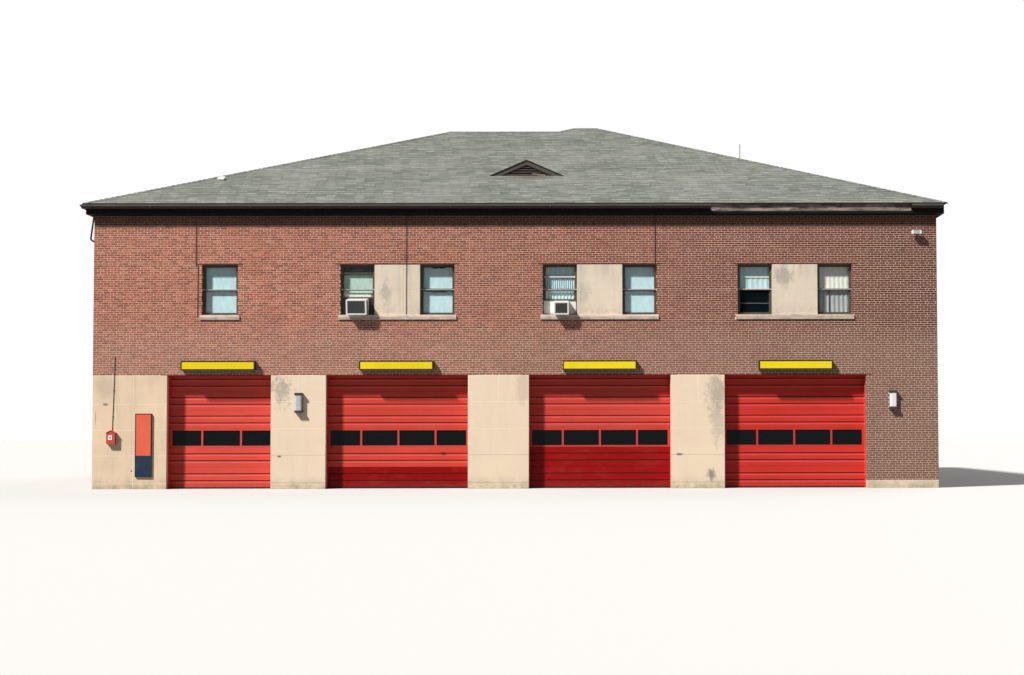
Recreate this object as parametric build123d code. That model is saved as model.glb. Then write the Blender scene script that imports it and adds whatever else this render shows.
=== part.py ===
from build123d import *
import math
import os

# A two-storey brick fire station with four vehicle bays under a hipped roof.
# Millimetres. +X is to the right seen from the street, +Y is to the back and
# +Z is up. The origin is on the ground, in the middle of the eaves.
# The left part of the back stands in by a step, so its ridge is a little lower.

# Plan: piers and vehicle doors from the left corner to the right one
pier_widths = [2267, 1676, 1862, 1648, 2196]
narrow_door = 3178
wide_door = 4345
door_widths = [narrow_door, wide_door, wide_door, wide_door]
lite_counts = [3, 4, 4, 4]
wall_depth = 20980
wall_thickness = 366
back_step = 1150
back_left_width = 4050
mortar_joint = 10

# Heights
stone_top = 3471
base_top = 240
floor_rise = 50
upper_floor_top = 4420
upper_floor_thickness = 300
wall_top = 8400
roof_edge_z = 8726

# Vehicle doors, which stand behind the wall and overlap its edges
door_overlap = 22
door_thickness = 50
door_seal_height = 40
door_seal_thickness = 36
section_heights = [620, 610, 570, 570, 570, 570]
glazed_section = 2
section_gap = 0.4
section_edge = 6
groove_height = 34
groove_depth = 14
groove_spacing = 212
lite_height = 450
lite_end_stile = 94
lite_mullion = 77
end_lite_share = {3: 0.77, 4: 0.84}
door_pane_thickness = 6
door_pane_inset = 16
door_lintel_height = 12
door_lintel_bearing = 200
lining_thickness = 16
lining_depth = 200

# Windows of the upper storey
window_sill_top = 5322
window_head = 6872
single_window = 1105
pair_window = 1058
panel_width = 1392
side_pairs = 3
window_reveal = 110
frame_depth = 110
frame_face = 32
sash_face = 46
sash_depth = 34
sash_inset = 14
sash_step = 38
meeting_rail = 44
pane_thickness = 5
sill_height = 150
sill_overlap = 57
sill_projection = 42
sill_depth = 200
sill_fall = 10
sill_drip = 6
panel_depth = 110
lintel_height = 12
lintel_bearing = 150
lintel_depth = 100

# Roof
roof_pitch = 22.7
roof_edge_out = 250
shingle_height = 25
deck_height = 150

# Eaves
fascia_out = 200
fascia_thickness = 20
soffit_z = 8400
soffit_thickness = 20
bed_mould_out = 60
bed_mould_drop = 20
bed_mould_foot = 20
gutter_out = 340
gutter_bottom = 8560
gutter_top = 8680
gutter_sheet = 8
gutter_stub = 811
gutter_stub_out = 160
gutter_gap = 6140
gutter_corner_gap = 600

# Louvred gablet on the front slope
gablet_x = 170
gablet_width = 2500
gablet_height = 540
gablet_inset = 3355
gablet_roof = 55
gablet_trim = 100
gablet_trim_depth = 60
gablet_foot = 30
gablet_skirt = 400
slat_pitch = 76
slat_thickness = 14
slat_reach = 70
slat_angle = 35

# Fittings
sign_width = 2260
sign_height = 285
sign_depth = 180
sign_bottom = 3620
sign_frame = 22
sign_recess = 12
left_light = (2325, 606)
right_light = (2420, 560)
left_light_shift = 25
right_light_from_door = 810
light_width = 236
light_depth = 150
light_back = 40
light_cap = 68
lens_width = 212
lens_depth = 98
lens_rounding = 46
call_box_from_corner = 602
call_box_z = 1378
call_box_width = 266
call_box_height = 410
call_box_depth = 125
call_box_gable = 70
board_from_corner = 1574
board_z = 378
board_width = 500
board_height = 1928
board_depth = 55
board_frame = 24
board_recess = 8
floodlight_from_corner = 640
floodlight_z = 7830
floodlight_width = 280
floodlight_height = 110
floodlight_depth = 120
arm_length = 90
arm_size = 50
cooler_sizes = [(625, 468), (456, 395)]
cooler_shifts = [15, 58]
cooler_lean = 8
cooler_depth_out = 275
cooler_depth_in = 330
cooler_rim = 45
cooler_recess = 18
cooler_rounding = 18
cooler_panel_thickness = 12
stack_from_corner = 5501
stack_inset = 6250
stack_radius = 44
stack_top = 11747
vent_from_corner = 3221
vent_inset = 2830
vent_foot_width = 150
vent_cap_width = 205
vent_foot_height = 62
vent_cap_height = 40

# Rainwater pipe at the left corner
pipe_radius = 28
pipe_from_front = 420
pipe_gap = 34
pipe_head_out = 165
pipe_knee_out = 258
pipe_knee_z = 7705
pipe_return = 125
pipe_foot = 160
pipe_bend = 70
strap_count = 4
strap_height = 30
strap_thickness = 6

# Fits
clear = 0.3
pipe_head_gap = 6

wall_width = sum(pier_widths) + sum(door_widths)
half_width = wall_width / 2
front_y = -wall_depth / 2
back_y = wall_depth / 2
step_y = back_y - back_step
back_step_x = -half_width + back_left_width
inner_y = front_y + wall_thickness
slope = math.tan(math.radians(roof_pitch))
plate_top = roof_edge_z + slope * roof_edge_out - shingle_height - deck_height


def bay_places():
    """Each vehicle bay from left to right: its middle, its width and its number of lites."""
    places = []
    left = -half_width
    for pier, width, lites in zip(pier_widths, door_widths, lite_counts):
        left += pier
        places.append((left + width / 2, width, lites))
        left += width
    return places


bays = bay_places()


def block(x0, x1, y0, y1, z0, z1):
    """A box between two corners."""
    size = (x1 - x0, y1 - y0, z1 - z0)
    middle = ((x0 + x1) / 2, (y0 + y1) / 2, (z0 + z1) / 2)
    return Pos(*middle) * Box(*size)


def bar(points, length, direction):
    """A straight bar from a flat outline."""
    return extrude(Face(Wire.make_polygon(points)), amount=length, dir=direction)


def slab(points, z0, z1):
    """A flat slab over a plan outline."""
    return bar([(x, y, z0) for x, y in points], z1 - z0, (0, 0, 1))


def save(node, *solids):
    """Writes the solids of one node."""
    shape = solids[0] if len(solids) == 1 else Compound(children=list(solids))
    export_step(shape, "parts/" + node + ".step")


def side(name):
    """Where a wall's outer face is: local X runs to the right seen from outside, local Y inwards."""
    places = {
        "front": ((0, front_y, 0), 0),
        "right": ((half_width, 0, 0), 90),
        "back": ((0, back_y, 0), 180),
        "back_left": ((0, step_y, 0), 180),
        "left": ((-half_width, 0, 0), -90),
    }
    place, turn = places[name]
    return Pos(*place) * Rot(0, 0, turn)


def group_half(pair):
    """Half the width of a group of windows, from its middle to the outer edge of its windows."""
    return panel_width / 2 + pair_window if pair else single_window / 2


def side_places(start, end):
    """The middles of the pairs on a side wall, with even gaps between them and to the corners."""
    width = 2 * group_half(True)
    gap = (end - start - side_pairs * width) / (side_pairs + 1)
    return [start + gap + width / 2 + number * (width + gap) for number in range(side_pairs)]


def window_groups():
    """Each group of windows: its wall, its middle along the wall and whether it is a pair."""
    groups = [("front", bays[0][0], False),
              ("back_left", half_width - back_left_width / 2, False)]
    for middle, width, lites in bays[1:]:
        groups.append(("front", middle, True))
        groups.append(("back", -middle, True))
    groups += [("right", middle, True) for middle in side_places(front_y, back_y)]
    groups += [("left", middle, True) for middle in side_places(-step_y, -front_y)]
    return groups


def group_windows(pair):
    """The middle and width of each window of a group, from the group's middle."""
    if not pair:
        return [(0, single_window)]
    offset = (panel_width + pair_window) / 2
    return [(-offset, pair_window), (offset, pair_window)]


def lintel(pair):
    """The steel plate that carries the brick over a group of windows."""
    half = group_half(pair) + lintel_bearing
    return block(-half, half, 0, lintel_depth, window_head, window_head + lintel_height)


def group_cut(pair):
    """What a group of windows takes out of its wall."""
    half = group_half(pair) + sill_overlap
    cut = lintel(pair) + block(-half, half, 0, sill_depth, window_sill_top - sill_height, window_sill_top)
    for middle, width in group_windows(pair):
        cut += block(middle - width / 2, middle + width / 2, 0, wall_thickness, window_sill_top, window_head)
    if pair:
        cut += block(-panel_width / 2, panel_width / 2, 0, panel_depth, window_sill_top, window_head)
    return cut


def sill(pair):
    """A stone sill that stands proud of the wall, with a sloped top and a drip under its nose."""
    half = group_half(pair) + sill_overlap
    bottom = window_sill_top - sill_height
    body = block(-half, half, 0, sill_depth, bottom, window_sill_top)
    nose = [(-half, 0, bottom + 2 * sill_drip), (-half, -sill_projection, bottom + sill_drip),
            (-half, -sill_projection, window_sill_top - sill_fall), (-half, 0, window_sill_top)]
    return body + bar(nose, 2 * half, (1, 0, 0))


def ring(width, bottom, top, face, front, depth):
    """A rectangular frame of one face width, standing in a wall."""
    outer = block(-width / 2, width / 2, front, front + depth, bottom, top)
    inner = block(-width / 2 + face, width / 2 - face, front, front + depth, bottom + face, top - face)
    return outer - inner


def window_frame(width, lift):
    """The frame of a double-hung window with its two sashes, the lower one raised by the lift."""
    middle = (window_sill_top + window_head) / 2
    frame = ring(width - 2 * clear, window_sill_top, window_head - clear, frame_face, window_reveal, frame_depth)
    inside = width - 2 * clear - 2 * frame_face
    upper_front = window_reveal + sash_inset
    upper = ring(inside, middle - meeting_rail / 2, window_head - clear - frame_face, sash_face,
                 upper_front, sash_depth)
    lower = ring(inside, window_sill_top + frame_face + lift, middle + meeting_rail / 2 + lift, sash_face,
                 upper_front + sash_step, sash_depth)
    return frame + upper + lower


def window_panes(width, lift):
    """The two panes of a double-hung window."""
    middle = (window_sill_top + window_head) / 2
    half = width / 2 - clear - frame_face - sash_face - clear
    inset = sash_face + clear
    upper_y = window_reveal + sash_inset + (sash_depth - pane_thickness) / 2
    lower_y = upper_y + sash_step
    upper = block(-half, half, upper_y, upper_y + pane_thickness,
                  middle - meeting_rail / 2 + inset, window_head - clear - frame_face - inset)
    lower = block(-half, half, lower_y, lower_y + pane_thickness,
                  window_sill_top + frame_face + lift + inset, middle + meeting_rail / 2 + lift - inset)
    return [upper, lower]


def coolers():
    """The room coolers, each in the left window of its pair: the window's middle, its shift from that, its size."""
    offset = (panel_width + pair_window) / 2
    return [(bay[0] - offset, shift, width, height)
            for bay, shift, (width, height) in zip(bays[1:3], cooler_shifts, cooler_sizes)]


def cooler_rise(height):
    """How far a leaning cooler reaches above the frame's rail, at the back of the raised sash."""
    lean = math.radians(cooler_lean)
    return (sash_inset + sash_step + sash_depth) * math.tan(lean) + height / math.cos(lean)


def sash_lift(name, x):
    """How far a window's lower sash is raised over the cooler that stands in it, or nothing."""
    for middle, shift, width, height in coolers():
        if name == "front" and abs(middle - x) < pair_window / 2:
            return cooler_rise(height) + 2 * clear
    return 0


def cooler(middle, shift, width, height):
    """A window air conditioner that leans out over the frame's rail, its grille sunk in a rim."""
    front = -window_reveal - cooler_depth_out
    case = block(-width / 2, width / 2, front, cooler_depth_in - window_reveal, 0, height)
    case = fillet(case.edges().filter_by(Axis.Y), cooler_rounding)
    half = width / 2 - cooler_rim
    case -= block(-half, half, front, front + cooler_recess, cooler_rim, height - cooler_rim)
    place = Pos(middle + shift, front_y + window_reveal, window_sill_top + frame_face + clear)
    return place * Rot(cooler_lean, 0, 0) * case


def cooler_panels(middle, shift, width, height):
    """The two filler panels beside a cooler, under the raised sash."""
    y = front_y + window_reveal + sash_inset + sash_step + sash_depth / 2
    low = window_sill_top + frame_face + clear
    edge = pair_window / 2 - frame_face - 2 * clear
    panels = []
    for start, end in ((-edge, shift - width / 2 - clear), (shift + width / 2 + clear, edge)):
        panels.append(block(middle + start, middle + end, y, y + cooler_panel_thickness,
                            low, low + cooler_rise(height)))
    return panels


def door_lintel(middle, width):
    """The steel plate that carries the brick over a vehicle door."""
    half = width / 2 + door_lintel_bearing
    return block(middle - half, middle + half, front_y, inner_y, stone_top, stone_top + door_lintel_height)


def build_walls():
    """Brick walls above the stone, each one slab, with their windows cut through."""
    front = block(-half_width, half_width, front_y, inner_y, stone_top, wall_top)
    for middle, width, lites in bays:
        front -= door_lintel(middle, width)
    left = block(-half_width, -half_width + wall_thickness, inner_y, step_y, base_top, wall_top)
    right = block(half_width - wall_thickness, half_width, inner_y, back_y, base_top, wall_top)
    back = block(back_step_x, half_width - wall_thickness, back_y - wall_thickness, back_y, base_top, wall_top)
    back_left = block(-half_width + wall_thickness, back_step_x, step_y - wall_thickness, step_y, base_top, wall_top)
    step = block(back_step_x, back_step_x + wall_thickness, step_y - wall_thickness, back_y - wall_thickness,
                 base_top, wall_top)
    walls = {"front": front, "left": left, "right": right, "back": back, "back_left": back_left}
    for name, middle, pair in window_groups():
        walls[name] -= side(name) * (Pos(middle, 0, 0) * group_cut(pair))
    for name, wall in walls.items():
        save(name + "_wall", wall)
    save("back_step_wall", step)


def build_piers():
    """Stone piers beside the doors, and the brick pier at the right corner, on its stone base."""
    starts = [-half_width] + [middle + width / 2 for middle, width, lites in bays]
    for number in range(len(bays)):
        pier = block(starts[number], starts[number] + pier_widths[number], front_y, inner_y, 0, stone_top)
        save("stone_pier_%d" % (number + 1), pier)
    save("brick_pier", block(starts[-1], half_width, front_y, inner_y, base_top, stone_top))
    return block(starts[-1], half_width, front_y, inner_y, 0, base_top)


def build_base(front_length):
    """The stone base course under the brick, with a mortar joint at each corner."""
    right_inner = half_width - wall_thickness
    left_inner = -half_width + wall_thickness
    lengths = [
        front_length,
        block(right_inner, half_width, inner_y + mortar_joint, back_y, 0, base_top),
        block(back_step_x, right_inner - mortar_joint, back_y - wall_thickness, back_y, 0, base_top),
        block(back_step_x, back_step_x + wall_thickness, step_y - wall_thickness,
              back_y - wall_thickness - mortar_joint, 0, base_top),
        block(left_inner, back_step_x - mortar_joint, step_y - wall_thickness, step_y, 0, base_top),
        block(-half_width, left_inner - mortar_joint, inner_y, step_y, 0, base_top),
    ]
    save("stone_base", *lengths)


def floor_parts(inset, front, bottom, top):
    """A floor over the L-shaped plan, as two slabs with a joint where the back steps."""
    break_x = back_step_x + inset
    return [block(-half_width + inset, break_x - mortar_joint, front, step_y - inset, bottom, top),
            block(break_x, half_width - inset, front, back_y - inset, bottom, top)]


def build_floors():
    """The slab of the vehicle hall, the upper floor and the attic floor on top of the walls."""
    behind_doors = inner_y + clear + door_thickness + mortar_joint
    save("ground_floor", *floor_parts(wall_thickness, behind_doors, 0, floor_rise))
    save("upper_floor", *floor_parts(wall_thickness, inner_y, upper_floor_top - upper_floor_thickness,
                                     upper_floor_top))
    save("attic_floor", *floor_parts(0, front_y, wall_top, plate_top))


def build_windows():
    """Frames, panes, sills, panels and lintels of every window group."""
    frames, panes, sills, panels, lintels = [], [], [], [], []
    for name, middle, pair in window_groups():
        place = side(name) * Pos(middle, 0, 0)
        sills.append(place * sill(pair))
        lintels.append(place * lintel(pair))
        if pair:
            panels.append(place * block(-panel_width / 2, panel_width / 2, 0, panel_depth,
                                        window_sill_top, window_head))
        for offset, width in group_windows(pair):
            lift = sash_lift(name, middle + offset)
            spot = place * Pos(offset, 0, 0)
            frames.append(spot * window_frame(width, lift))
            panes += [spot * pane for pane in window_panes(width, lift)]
    save("window_frames", *frames)
    save("window_panes", *panes)
    save("window_sills", *sills)
    save("window_panels", *panels)
    save("window_lintels", *lintels)


def door_section(width, bottom, height):
    """One ribbed section of a door: its outer face has two long grooves and small edges at the joints."""
    top = bottom + height - section_gap
    centre = bottom + height / 2
    points = [(0, bottom + section_edge), (section_edge, bottom), (door_thickness, bottom), (door_thickness, top),
              (section_edge, top), (0, top - section_edge)]
    for groove in (centre + groove_spacing / 2, centre - groove_spacing / 2):
        points += [(0, groove + groove_height / 2), (groove_depth, groove + groove_height / 4),
                   (groove_depth, groove - groove_height / 4), (0, groove - groove_height / 2)]
    face_y = inner_y + clear
    return bar([(-width / 2, face_y + y, z) for y, z in points], width, (1, 0, 0))


def lite_spans(width, count):
    """The left and right edge of each lite of a door, the end ones a little narrower."""
    clear_width = width - 2 * lite_end_stile - (count - 1) * lite_mullion
    share = end_lite_share[count]
    full = clear_width / (count - 2 + 2 * share)
    spans = []
    left = -width / 2 + lite_end_stile
    for number in range(count):
        span = full * share if number in (0, count - 1) else full
        spans.append((left, left + span))
        left += span + lite_mullion
    return spans


def glazed_door_section(width, opening, bottom, height, count):
    """The flat section that holds the lites, and its panes."""
    face_y = inner_y + clear
    pane_y = face_y + door_pane_inset
    low = bottom + (height - lite_height) / 2
    high = low + lite_height
    section = block(-width / 2, width / 2, face_y, face_y + door_thickness, bottom, bottom + height - section_gap)
    panes = []
    for left, right in lite_spans(opening, count):
        section -= block(left, right, face_y, face_y + door_thickness, low, high)
        panes.append(block(left + clear, right - clear, pane_y, pane_y + door_pane_thickness,
                           low + clear, high - clear))
    return section, panes


def door_lining(opening):
    """A steel lining round the inside of a door opening, in front of the door."""
    half = opening / 2
    outer = block(-half, half, inner_y - lining_depth, inner_y, 0, stone_top)
    inner = block(-half + lining_thickness, half - lining_thickness, inner_y - lining_depth, inner_y,
                  0, stone_top - lining_thickness)
    return outer - inner


def build_doors():
    """Four sectional doors of six sections each, with panes, floor seals, linings and lintels."""
    seal_y = inner_y + clear + (door_thickness - door_seal_thickness) / 2
    panes, seals, linings, lintels = [], [], [], []
    for number, (middle, opening, count) in enumerate(bays):
        width = opening + 2 * door_overlap
        place = Pos(middle, 0, 0)
        sections = []
        bottom = door_seal_height
        for row, height in enumerate(section_heights):
            if row == glazed_section:
                section, lites = glazed_door_section(width, opening, bottom, height, count)
                panes += [place * lite for lite in lites]
            else:
                section = door_section(width, bottom, height)
            sections.append(place * section)
            bottom += height
        seals.append(place * block(-width / 2, width / 2, seal_y, seal_y + door_seal_thickness,
                                   0, door_seal_height))
        linings.append(place * door_lining(opening))
        lintels.append(door_lintel(middle, opening))
        save("door_%d" % (number + 1), *sections)
    save("door_panes", *panes)
    save("door_seals", *seals)
    save("door_linings", *linings)
    save("door_lintels", *lintels)


def edge_distances():
    """Each roof edge as (a, b, c): a x + b y + c is how far a point lies inside that edge."""
    out = roof_edge_out
    return {
        "front": (0, 1, out - front_y),
        "right": (-1, 0, out + half_width),
        "back": (0, -1, out + back_y),
        "back_left": (0, -1, out + step_y),
        "left": (1, 0, out + half_width),
        "step": (1, 0, out - back_step_x),
    }


def slope_rules():
    """For each part of each slope: the edges that lie farther than its own, and those that lie nearer."""
    return {
        "front": [(["right", "back", "step"], []), (["right", "back_left", "left"], [])],
        "right": [(["front", "back", "step"], []), (["front", "back_left", "left"], [])],
        "back": [(["front", "right", "step"], [])],
        "step": [(["front", "right", "back"], ["back_left"])],
        "back_left": [(["front", "right", "left"], ["step"])],
        "left": [(["front", "right", "back_left"], [])],
    }


def clip(points, a, b, c):
    """The part of a convex outline where a x + b y + c is not negative."""
    kept = []
    for here, there in zip(points, points[1:] + points[:1]):
        inside = a * here[0] + b * here[1] + c
        inside_next = a * there[0] + b * there[1] + c
        if inside >= 0:
            kept.append(here)
        if inside * inside_next < 0:
            share = inside / (inside - inside_next)
            kept.append((here[0] + share * (there[0] - here[0]), here[1] + share * (there[1] - here[1])))
    return kept


def difference(one, other):
    """How much farther in a point is by one edge than by another, as an edge of its own."""
    return tuple(a - b for a, b in zip(one, other))


def slope_outlines(name, inset):
    """The convex parts of a roof slope in plan, its eave set in from the roof edge."""
    edges = edge_distances()
    own = edges[name]
    far = 2 * (wall_width + wall_depth)
    outlines = []
    for farther, nearer in slope_rules()[name]:
        points = [(-far, -far), (far, -far), (far, far), (-far, far)]
        points = clip(points, own[0], own[1], own[2] - inset)
        for edge in farther:
            points = clip(points, *difference(edges[edge], own))
        for edge in nearer:
            points = clip(points, *difference(own, edges[edge]))
        corners = [here for here, there in zip(points, points[1:] + points[:1]) if math.dist(here, there) > clear]
        outlines.append(corners)
    return outlines


def slope_layer(name, inset, height):
    """A layer of one roof slope, as high as asked straight down from the roof's top surface."""
    a, b, c = edge_distances()[name]
    layers = []
    for outline in slope_outlines(name, inset):
        corners = [(x, y, roof_edge_z + slope * (a * x + b * y + c)) for x, y in outline]
        layers.append(bar(corners, height, (0, 0, -1)))
    return fused(layers)


def fused(shapes):
    """Shapes made one."""
    whole = shapes[0]
    for shape in shapes[1:]:
        whole += shape
    return whole


def build_roof():
    """Six slopes that meet at upright mitres: thin shingles out to the edge, and the deck behind the fascia."""
    deck_inset = roof_edge_out - fascia_out + fascia_thickness
    for name in slope_rules():
        shingles = slope_layer(name, 0, shingle_height)
        save("roof_" + name, shingles + slope_layer(name, deck_inset, shingle_height + deck_height))


def eave_run(profile, reach, start, end, start_mitre, end_mitre):
    """A moulding along a wall, drawn as (out, z). Mitre 1 turns round an outer corner, -1 an inner, 0 is square."""
    length = math.dist(start, end)
    along = ((end[0] - start[0]) / length, (end[1] - start[1]) / length)
    out = (along[1], -along[0])

    def spot(distance, outwards):
        return (start[0] + along[0] * distance + out[0] * outwards, start[1] + along[1] * distance + out[1] * outwards)

    moulding = bar([spot(-reach, o) + (z,) for o, z in profile], length + 2 * reach, (along[0], along[1], 0))
    corners = [spot(0, 0), spot(-reach * start_mitre, reach), spot(length + reach * end_mitre, reach), spot(length, 0)]
    return moulding & slab(corners, 0, 2 * roof_edge_z)


def eave_lines():
    """Each stretch of eave: node side, its ends anticlockwise round the walls and the mitres there."""
    left, right = -half_width, half_width
    return [
        ("front", (left, front_y), (right, front_y), 1, 1),
        ("right", (right, front_y), (right, back_y), 1, 1),
        ("back", (right, back_y), (back_step_x, back_y), 1, 1),
        ("back", (back_step_x, back_y), (back_step_x, step_y), 1, -1),
        ("back", (back_step_x, step_y), (left, step_y), -1, 1),
        ("left", (left, step_y), (left, front_y), 1, 1),
    ]


def cornice_profile():
    """Bed mould on the wall, soffit and fascia."""
    fascia_top = roof_edge_z + slope * (roof_edge_out - fascia_out) - shingle_height
    fascia_back = fascia_out - fascia_thickness
    return [(0, soffit_z - bed_mould_drop), (bed_mould_foot, soffit_z - bed_mould_drop), (bed_mould_out, soffit_z),
            (fascia_out, soffit_z), (fascia_out, fascia_top), (fascia_back, fascia_top),
            (fascia_back, soffit_z + soffit_thickness), (0, soffit_z + soffit_thickness)]


def gutter_profile():
    """An open trough with an ogee front."""
    s = gutter_sheet
    back, lip, low, high = fascia_out, gutter_out, gutter_bottom, gutter_top
    belly = lip - 50
    waist = lip - 24
    outer = [(back, high), (back, low), (belly, low), (belly + 18, low + 24), (waist, low + 50), (lip, low + 78),
             (lip, high)]
    inner = [(lip - s, high), (lip - s, low + 82), (waist - s, low + 54), (belly + 10, low + 28), (belly - 3, low + s),
             (back + s, low + s), (back + s, high)]
    return outer + inner


def build_eaves():
    """Cornice and gutters, one node a side. Two stretches of gutter are missing: at the right of the front, and
    round the right corner."""
    lines = {}
    for name, start, end, first, last in eave_lines():
        lines.setdefault(name, []).append((start, end, first, last))
    for name, runs in lines.items():
        save("cornice_" + name, fused([eave_run(cornice_profile(), fascia_out, *run) for run in runs]))
    for name in ("back", "left"):
        save("gutter_" + name, fused([eave_run(gutter_profile(), gutter_out, *run) for run in lines[name]]))
    corner, end, first, last = lines["right"][0]
    start = (half_width, front_y + gutter_corner_gap)
    save("gutter_right", eave_run(gutter_profile(), gutter_out, start, end, 0, last))
    start, end, first, last = lines["front"][0]
    stub_x = half_width - gutter_stub
    long_part = eave_run(gutter_profile(), gutter_out, start, (stub_x - gutter_gap, front_y), first, 0)
    stub_end = (half_width + gutter_stub_out, front_y)
    short_part = eave_run(gutter_profile(), gutter_out, (stub_x, front_y), stub_end, 0, 0)
    save("gutter_front", long_part, short_part)


def gable_prism(drop, y0, y1):
    """The gablet's triangle, its rafters set in by a drop, as a bar along Y."""
    base = roof_edge_z + slope * gablet_inset
    half = gablet_width / 2
    rise = gablet_height / half
    reach = half + (gablet_skirt - drop) / rise
    points = [(gablet_x - reach, y0, base - gablet_skirt), (gablet_x + reach, y0, base - gablet_skirt),
              (gablet_x, y0, base + gablet_height - drop)]
    return bar(points, y1 - y0, (0, 1, 0))


def over_front_slope(x0, x1, y0, y1, low, high):
    """A bar along X over the front slope, between two heights above it."""
    edge_y = front_y - roof_edge_out
    points = [(x0, y0, roof_edge_z + slope * (y0 - edge_y) + low), (x0, y1, roof_edge_z + slope * (y1 - edge_y) + low),
              (x0, y1, roof_edge_z + slope * (y1 - edge_y) + high), (x0, y0, roof_edge_z + slope * (y0 - edge_y) + high)]
    return bar(points, x1 - x0, (1, 0, 0))


def build_gablet():
    """The triangular roof vent: a small pitched hood, and a trimmed louvre in its mouth."""
    mouth_y = front_y - roof_edge_out + gablet_inset
    inside_y = mouth_y + gablet_trim_depth
    back = mouth_y + gablet_height / slope + gablet_trim_depth
    left, right = gablet_x - gablet_width, gablet_x + gablet_width
    keep = over_front_slope(left, right, mouth_y, back, clear, 2 * gablet_height)
    hood = (gable_prism(0, mouth_y, back) - gable_prism(gablet_roof, mouth_y, back)) & keep
    save("gablet_hood", hood)
    base = roof_edge_z + slope * gablet_inset
    face = gable_prism(gablet_roof + clear, mouth_y, inside_y)
    hole = gable_prism(gablet_roof + gablet_trim, mouth_y, inside_y)
    hole = hole & block(left, right, mouth_y, inside_y, base + gablet_foot, base + gablet_height)
    louvre = face - hole
    for number in range(int((gablet_height - gablet_trim) / slat_pitch)):
        z = base + gablet_foot + (number + 0.5) * slat_pitch
        slat = Pos(gablet_x, (mouth_y + inside_y) / 2, z) * Rot(slat_angle, 0, 0)
        louvre += (slat * Box(gablet_width, slat_reach, slat_thickness)) & face
    save("gablet_louvre", louvre & keep)


def framed_panel(middle, width, bottom, height, depth, frame, recess):
    """A flat box on the front wall with a thin frame round its sunk face."""
    face = front_y - depth
    body = block(middle - width / 2, middle + width / 2, face, front_y, bottom, bottom + height)
    half = width / 2 - frame
    return body - block(middle - half, middle + half, face, face + recess, bottom + frame, bottom + height - frame)


def wall_light(x, z, height):
    """A wall light: its case, with a back and two caps, and the rounded lens between the caps."""
    half = light_width / 2
    case = block(x - half, x + half, front_y - light_back, front_y, z, z + height)
    for low in (z, z + height - light_cap):
        case += block(x - half, x + half, front_y - light_depth, front_y, low, low + light_cap)
    back = front_y - light_back - clear
    lens = block(x - lens_width / 2, x + lens_width / 2, back - lens_depth, back,
                 z + light_cap + clear, z + height - light_cap - clear)
    outer_edges = lens.edges().filter_by(Axis.Z).group_by(Axis.Y)[0]
    return case, fillet(outer_edges, lens_rounding)


def build_wall_fittings():
    """Signs, wall lights, call box, notice board and floodlight."""
    save("sign_boxes", *[framed_panel(middle, sign_width, sign_bottom, sign_height, sign_depth, sign_frame,
                                      sign_recess) for middle, width, lites in bays])
    last_door = bays[-1][0] + bays[-1][1] / 2
    between_doors = bays[1][0] - bays[1][1] / 2 - pier_widths[1] / 2 + left_light_shift
    lights = [wall_light(between_doors, *left_light), wall_light(last_door + right_light_from_door, *right_light)]
    save("wall_lights", *[case for case, lens in lights])
    save("light_lenses", *[lens for case, lens in lights])
    x = call_box_from_corner - half_width
    half = call_box_width / 2
    top = call_box_z + call_box_height
    outline = [(x - half, front_y, call_box_z), (x + half, front_y, call_box_z),
               (x + half, front_y, top - call_box_gable), (x, front_y, top), (x - half, front_y, top - call_box_gable)]
    save("call_box", bar(outline, call_box_depth, (0, -1, 0)))
    save("notice_board", framed_panel(board_from_corner - half_width, board_width, board_z, board_height, board_depth,
                                      board_frame, board_recess))
    x = half_width - floodlight_from_corner
    arm = block(x - arm_size / 2, x + arm_size / 2, front_y - arm_length, front_y,
                floodlight_z - arm_size / 2, floodlight_z + arm_size / 2)
    head = block(x - floodlight_width / 2, x + floodlight_width / 2, front_y - arm_length - floodlight_depth,
                 front_y - arm_length, floodlight_z - floodlight_height / 2, floodlight_z + floodlight_height / 2)
    save("floodlight", arm + head)


def build_coolers():
    """The two window air conditioners and the filler panels beside them."""
    panels = []
    for number, place in enumerate(coolers()):
        save("air_conditioner_%d" % (number + 1), cooler(*place))
        panels += cooler_panels(*place)
    save("cooler_panels", *panels)


def build_roof_fittings():
    """The pipe stack on the right slope and the small hooded vent on the front slope."""
    x = half_width - stack_from_corner
    y = front_y - roof_edge_out + stack_inset
    foot = roof_edge_z + slope * (half_width + roof_edge_out - x) + clear
    drop = slope * stack_radius
    stack = Pos(x, y, (foot - drop + stack_top) / 2) * Cylinder(stack_radius, stack_top - foot + drop)
    reach = 2 * stack_radius
    wedge = [(x - reach, y - reach, foot + reach * slope), (x + reach, y - reach, foot - reach * slope),
             (x + reach, y - reach, foot - reach), (x - reach, y - reach, foot - reach)]
    save("roof_stack", stack - bar(wedge, 2 * reach, (0, 1, 0)))
    x = vent_from_corner - half_width
    y = front_y - roof_edge_out + vent_inset
    half, cap_half = vent_foot_width / 2, vent_cap_width / 2
    foot = over_front_slope(x - half, x + half, y - half, y + half, clear, vent_foot_height)
    cap = over_front_slope(x - cap_half, x + cap_half, y - cap_half, y + cap_half,
                           vent_foot_height, vent_foot_height + vent_cap_height)
    save("roof_vent", foot + cap)


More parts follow.
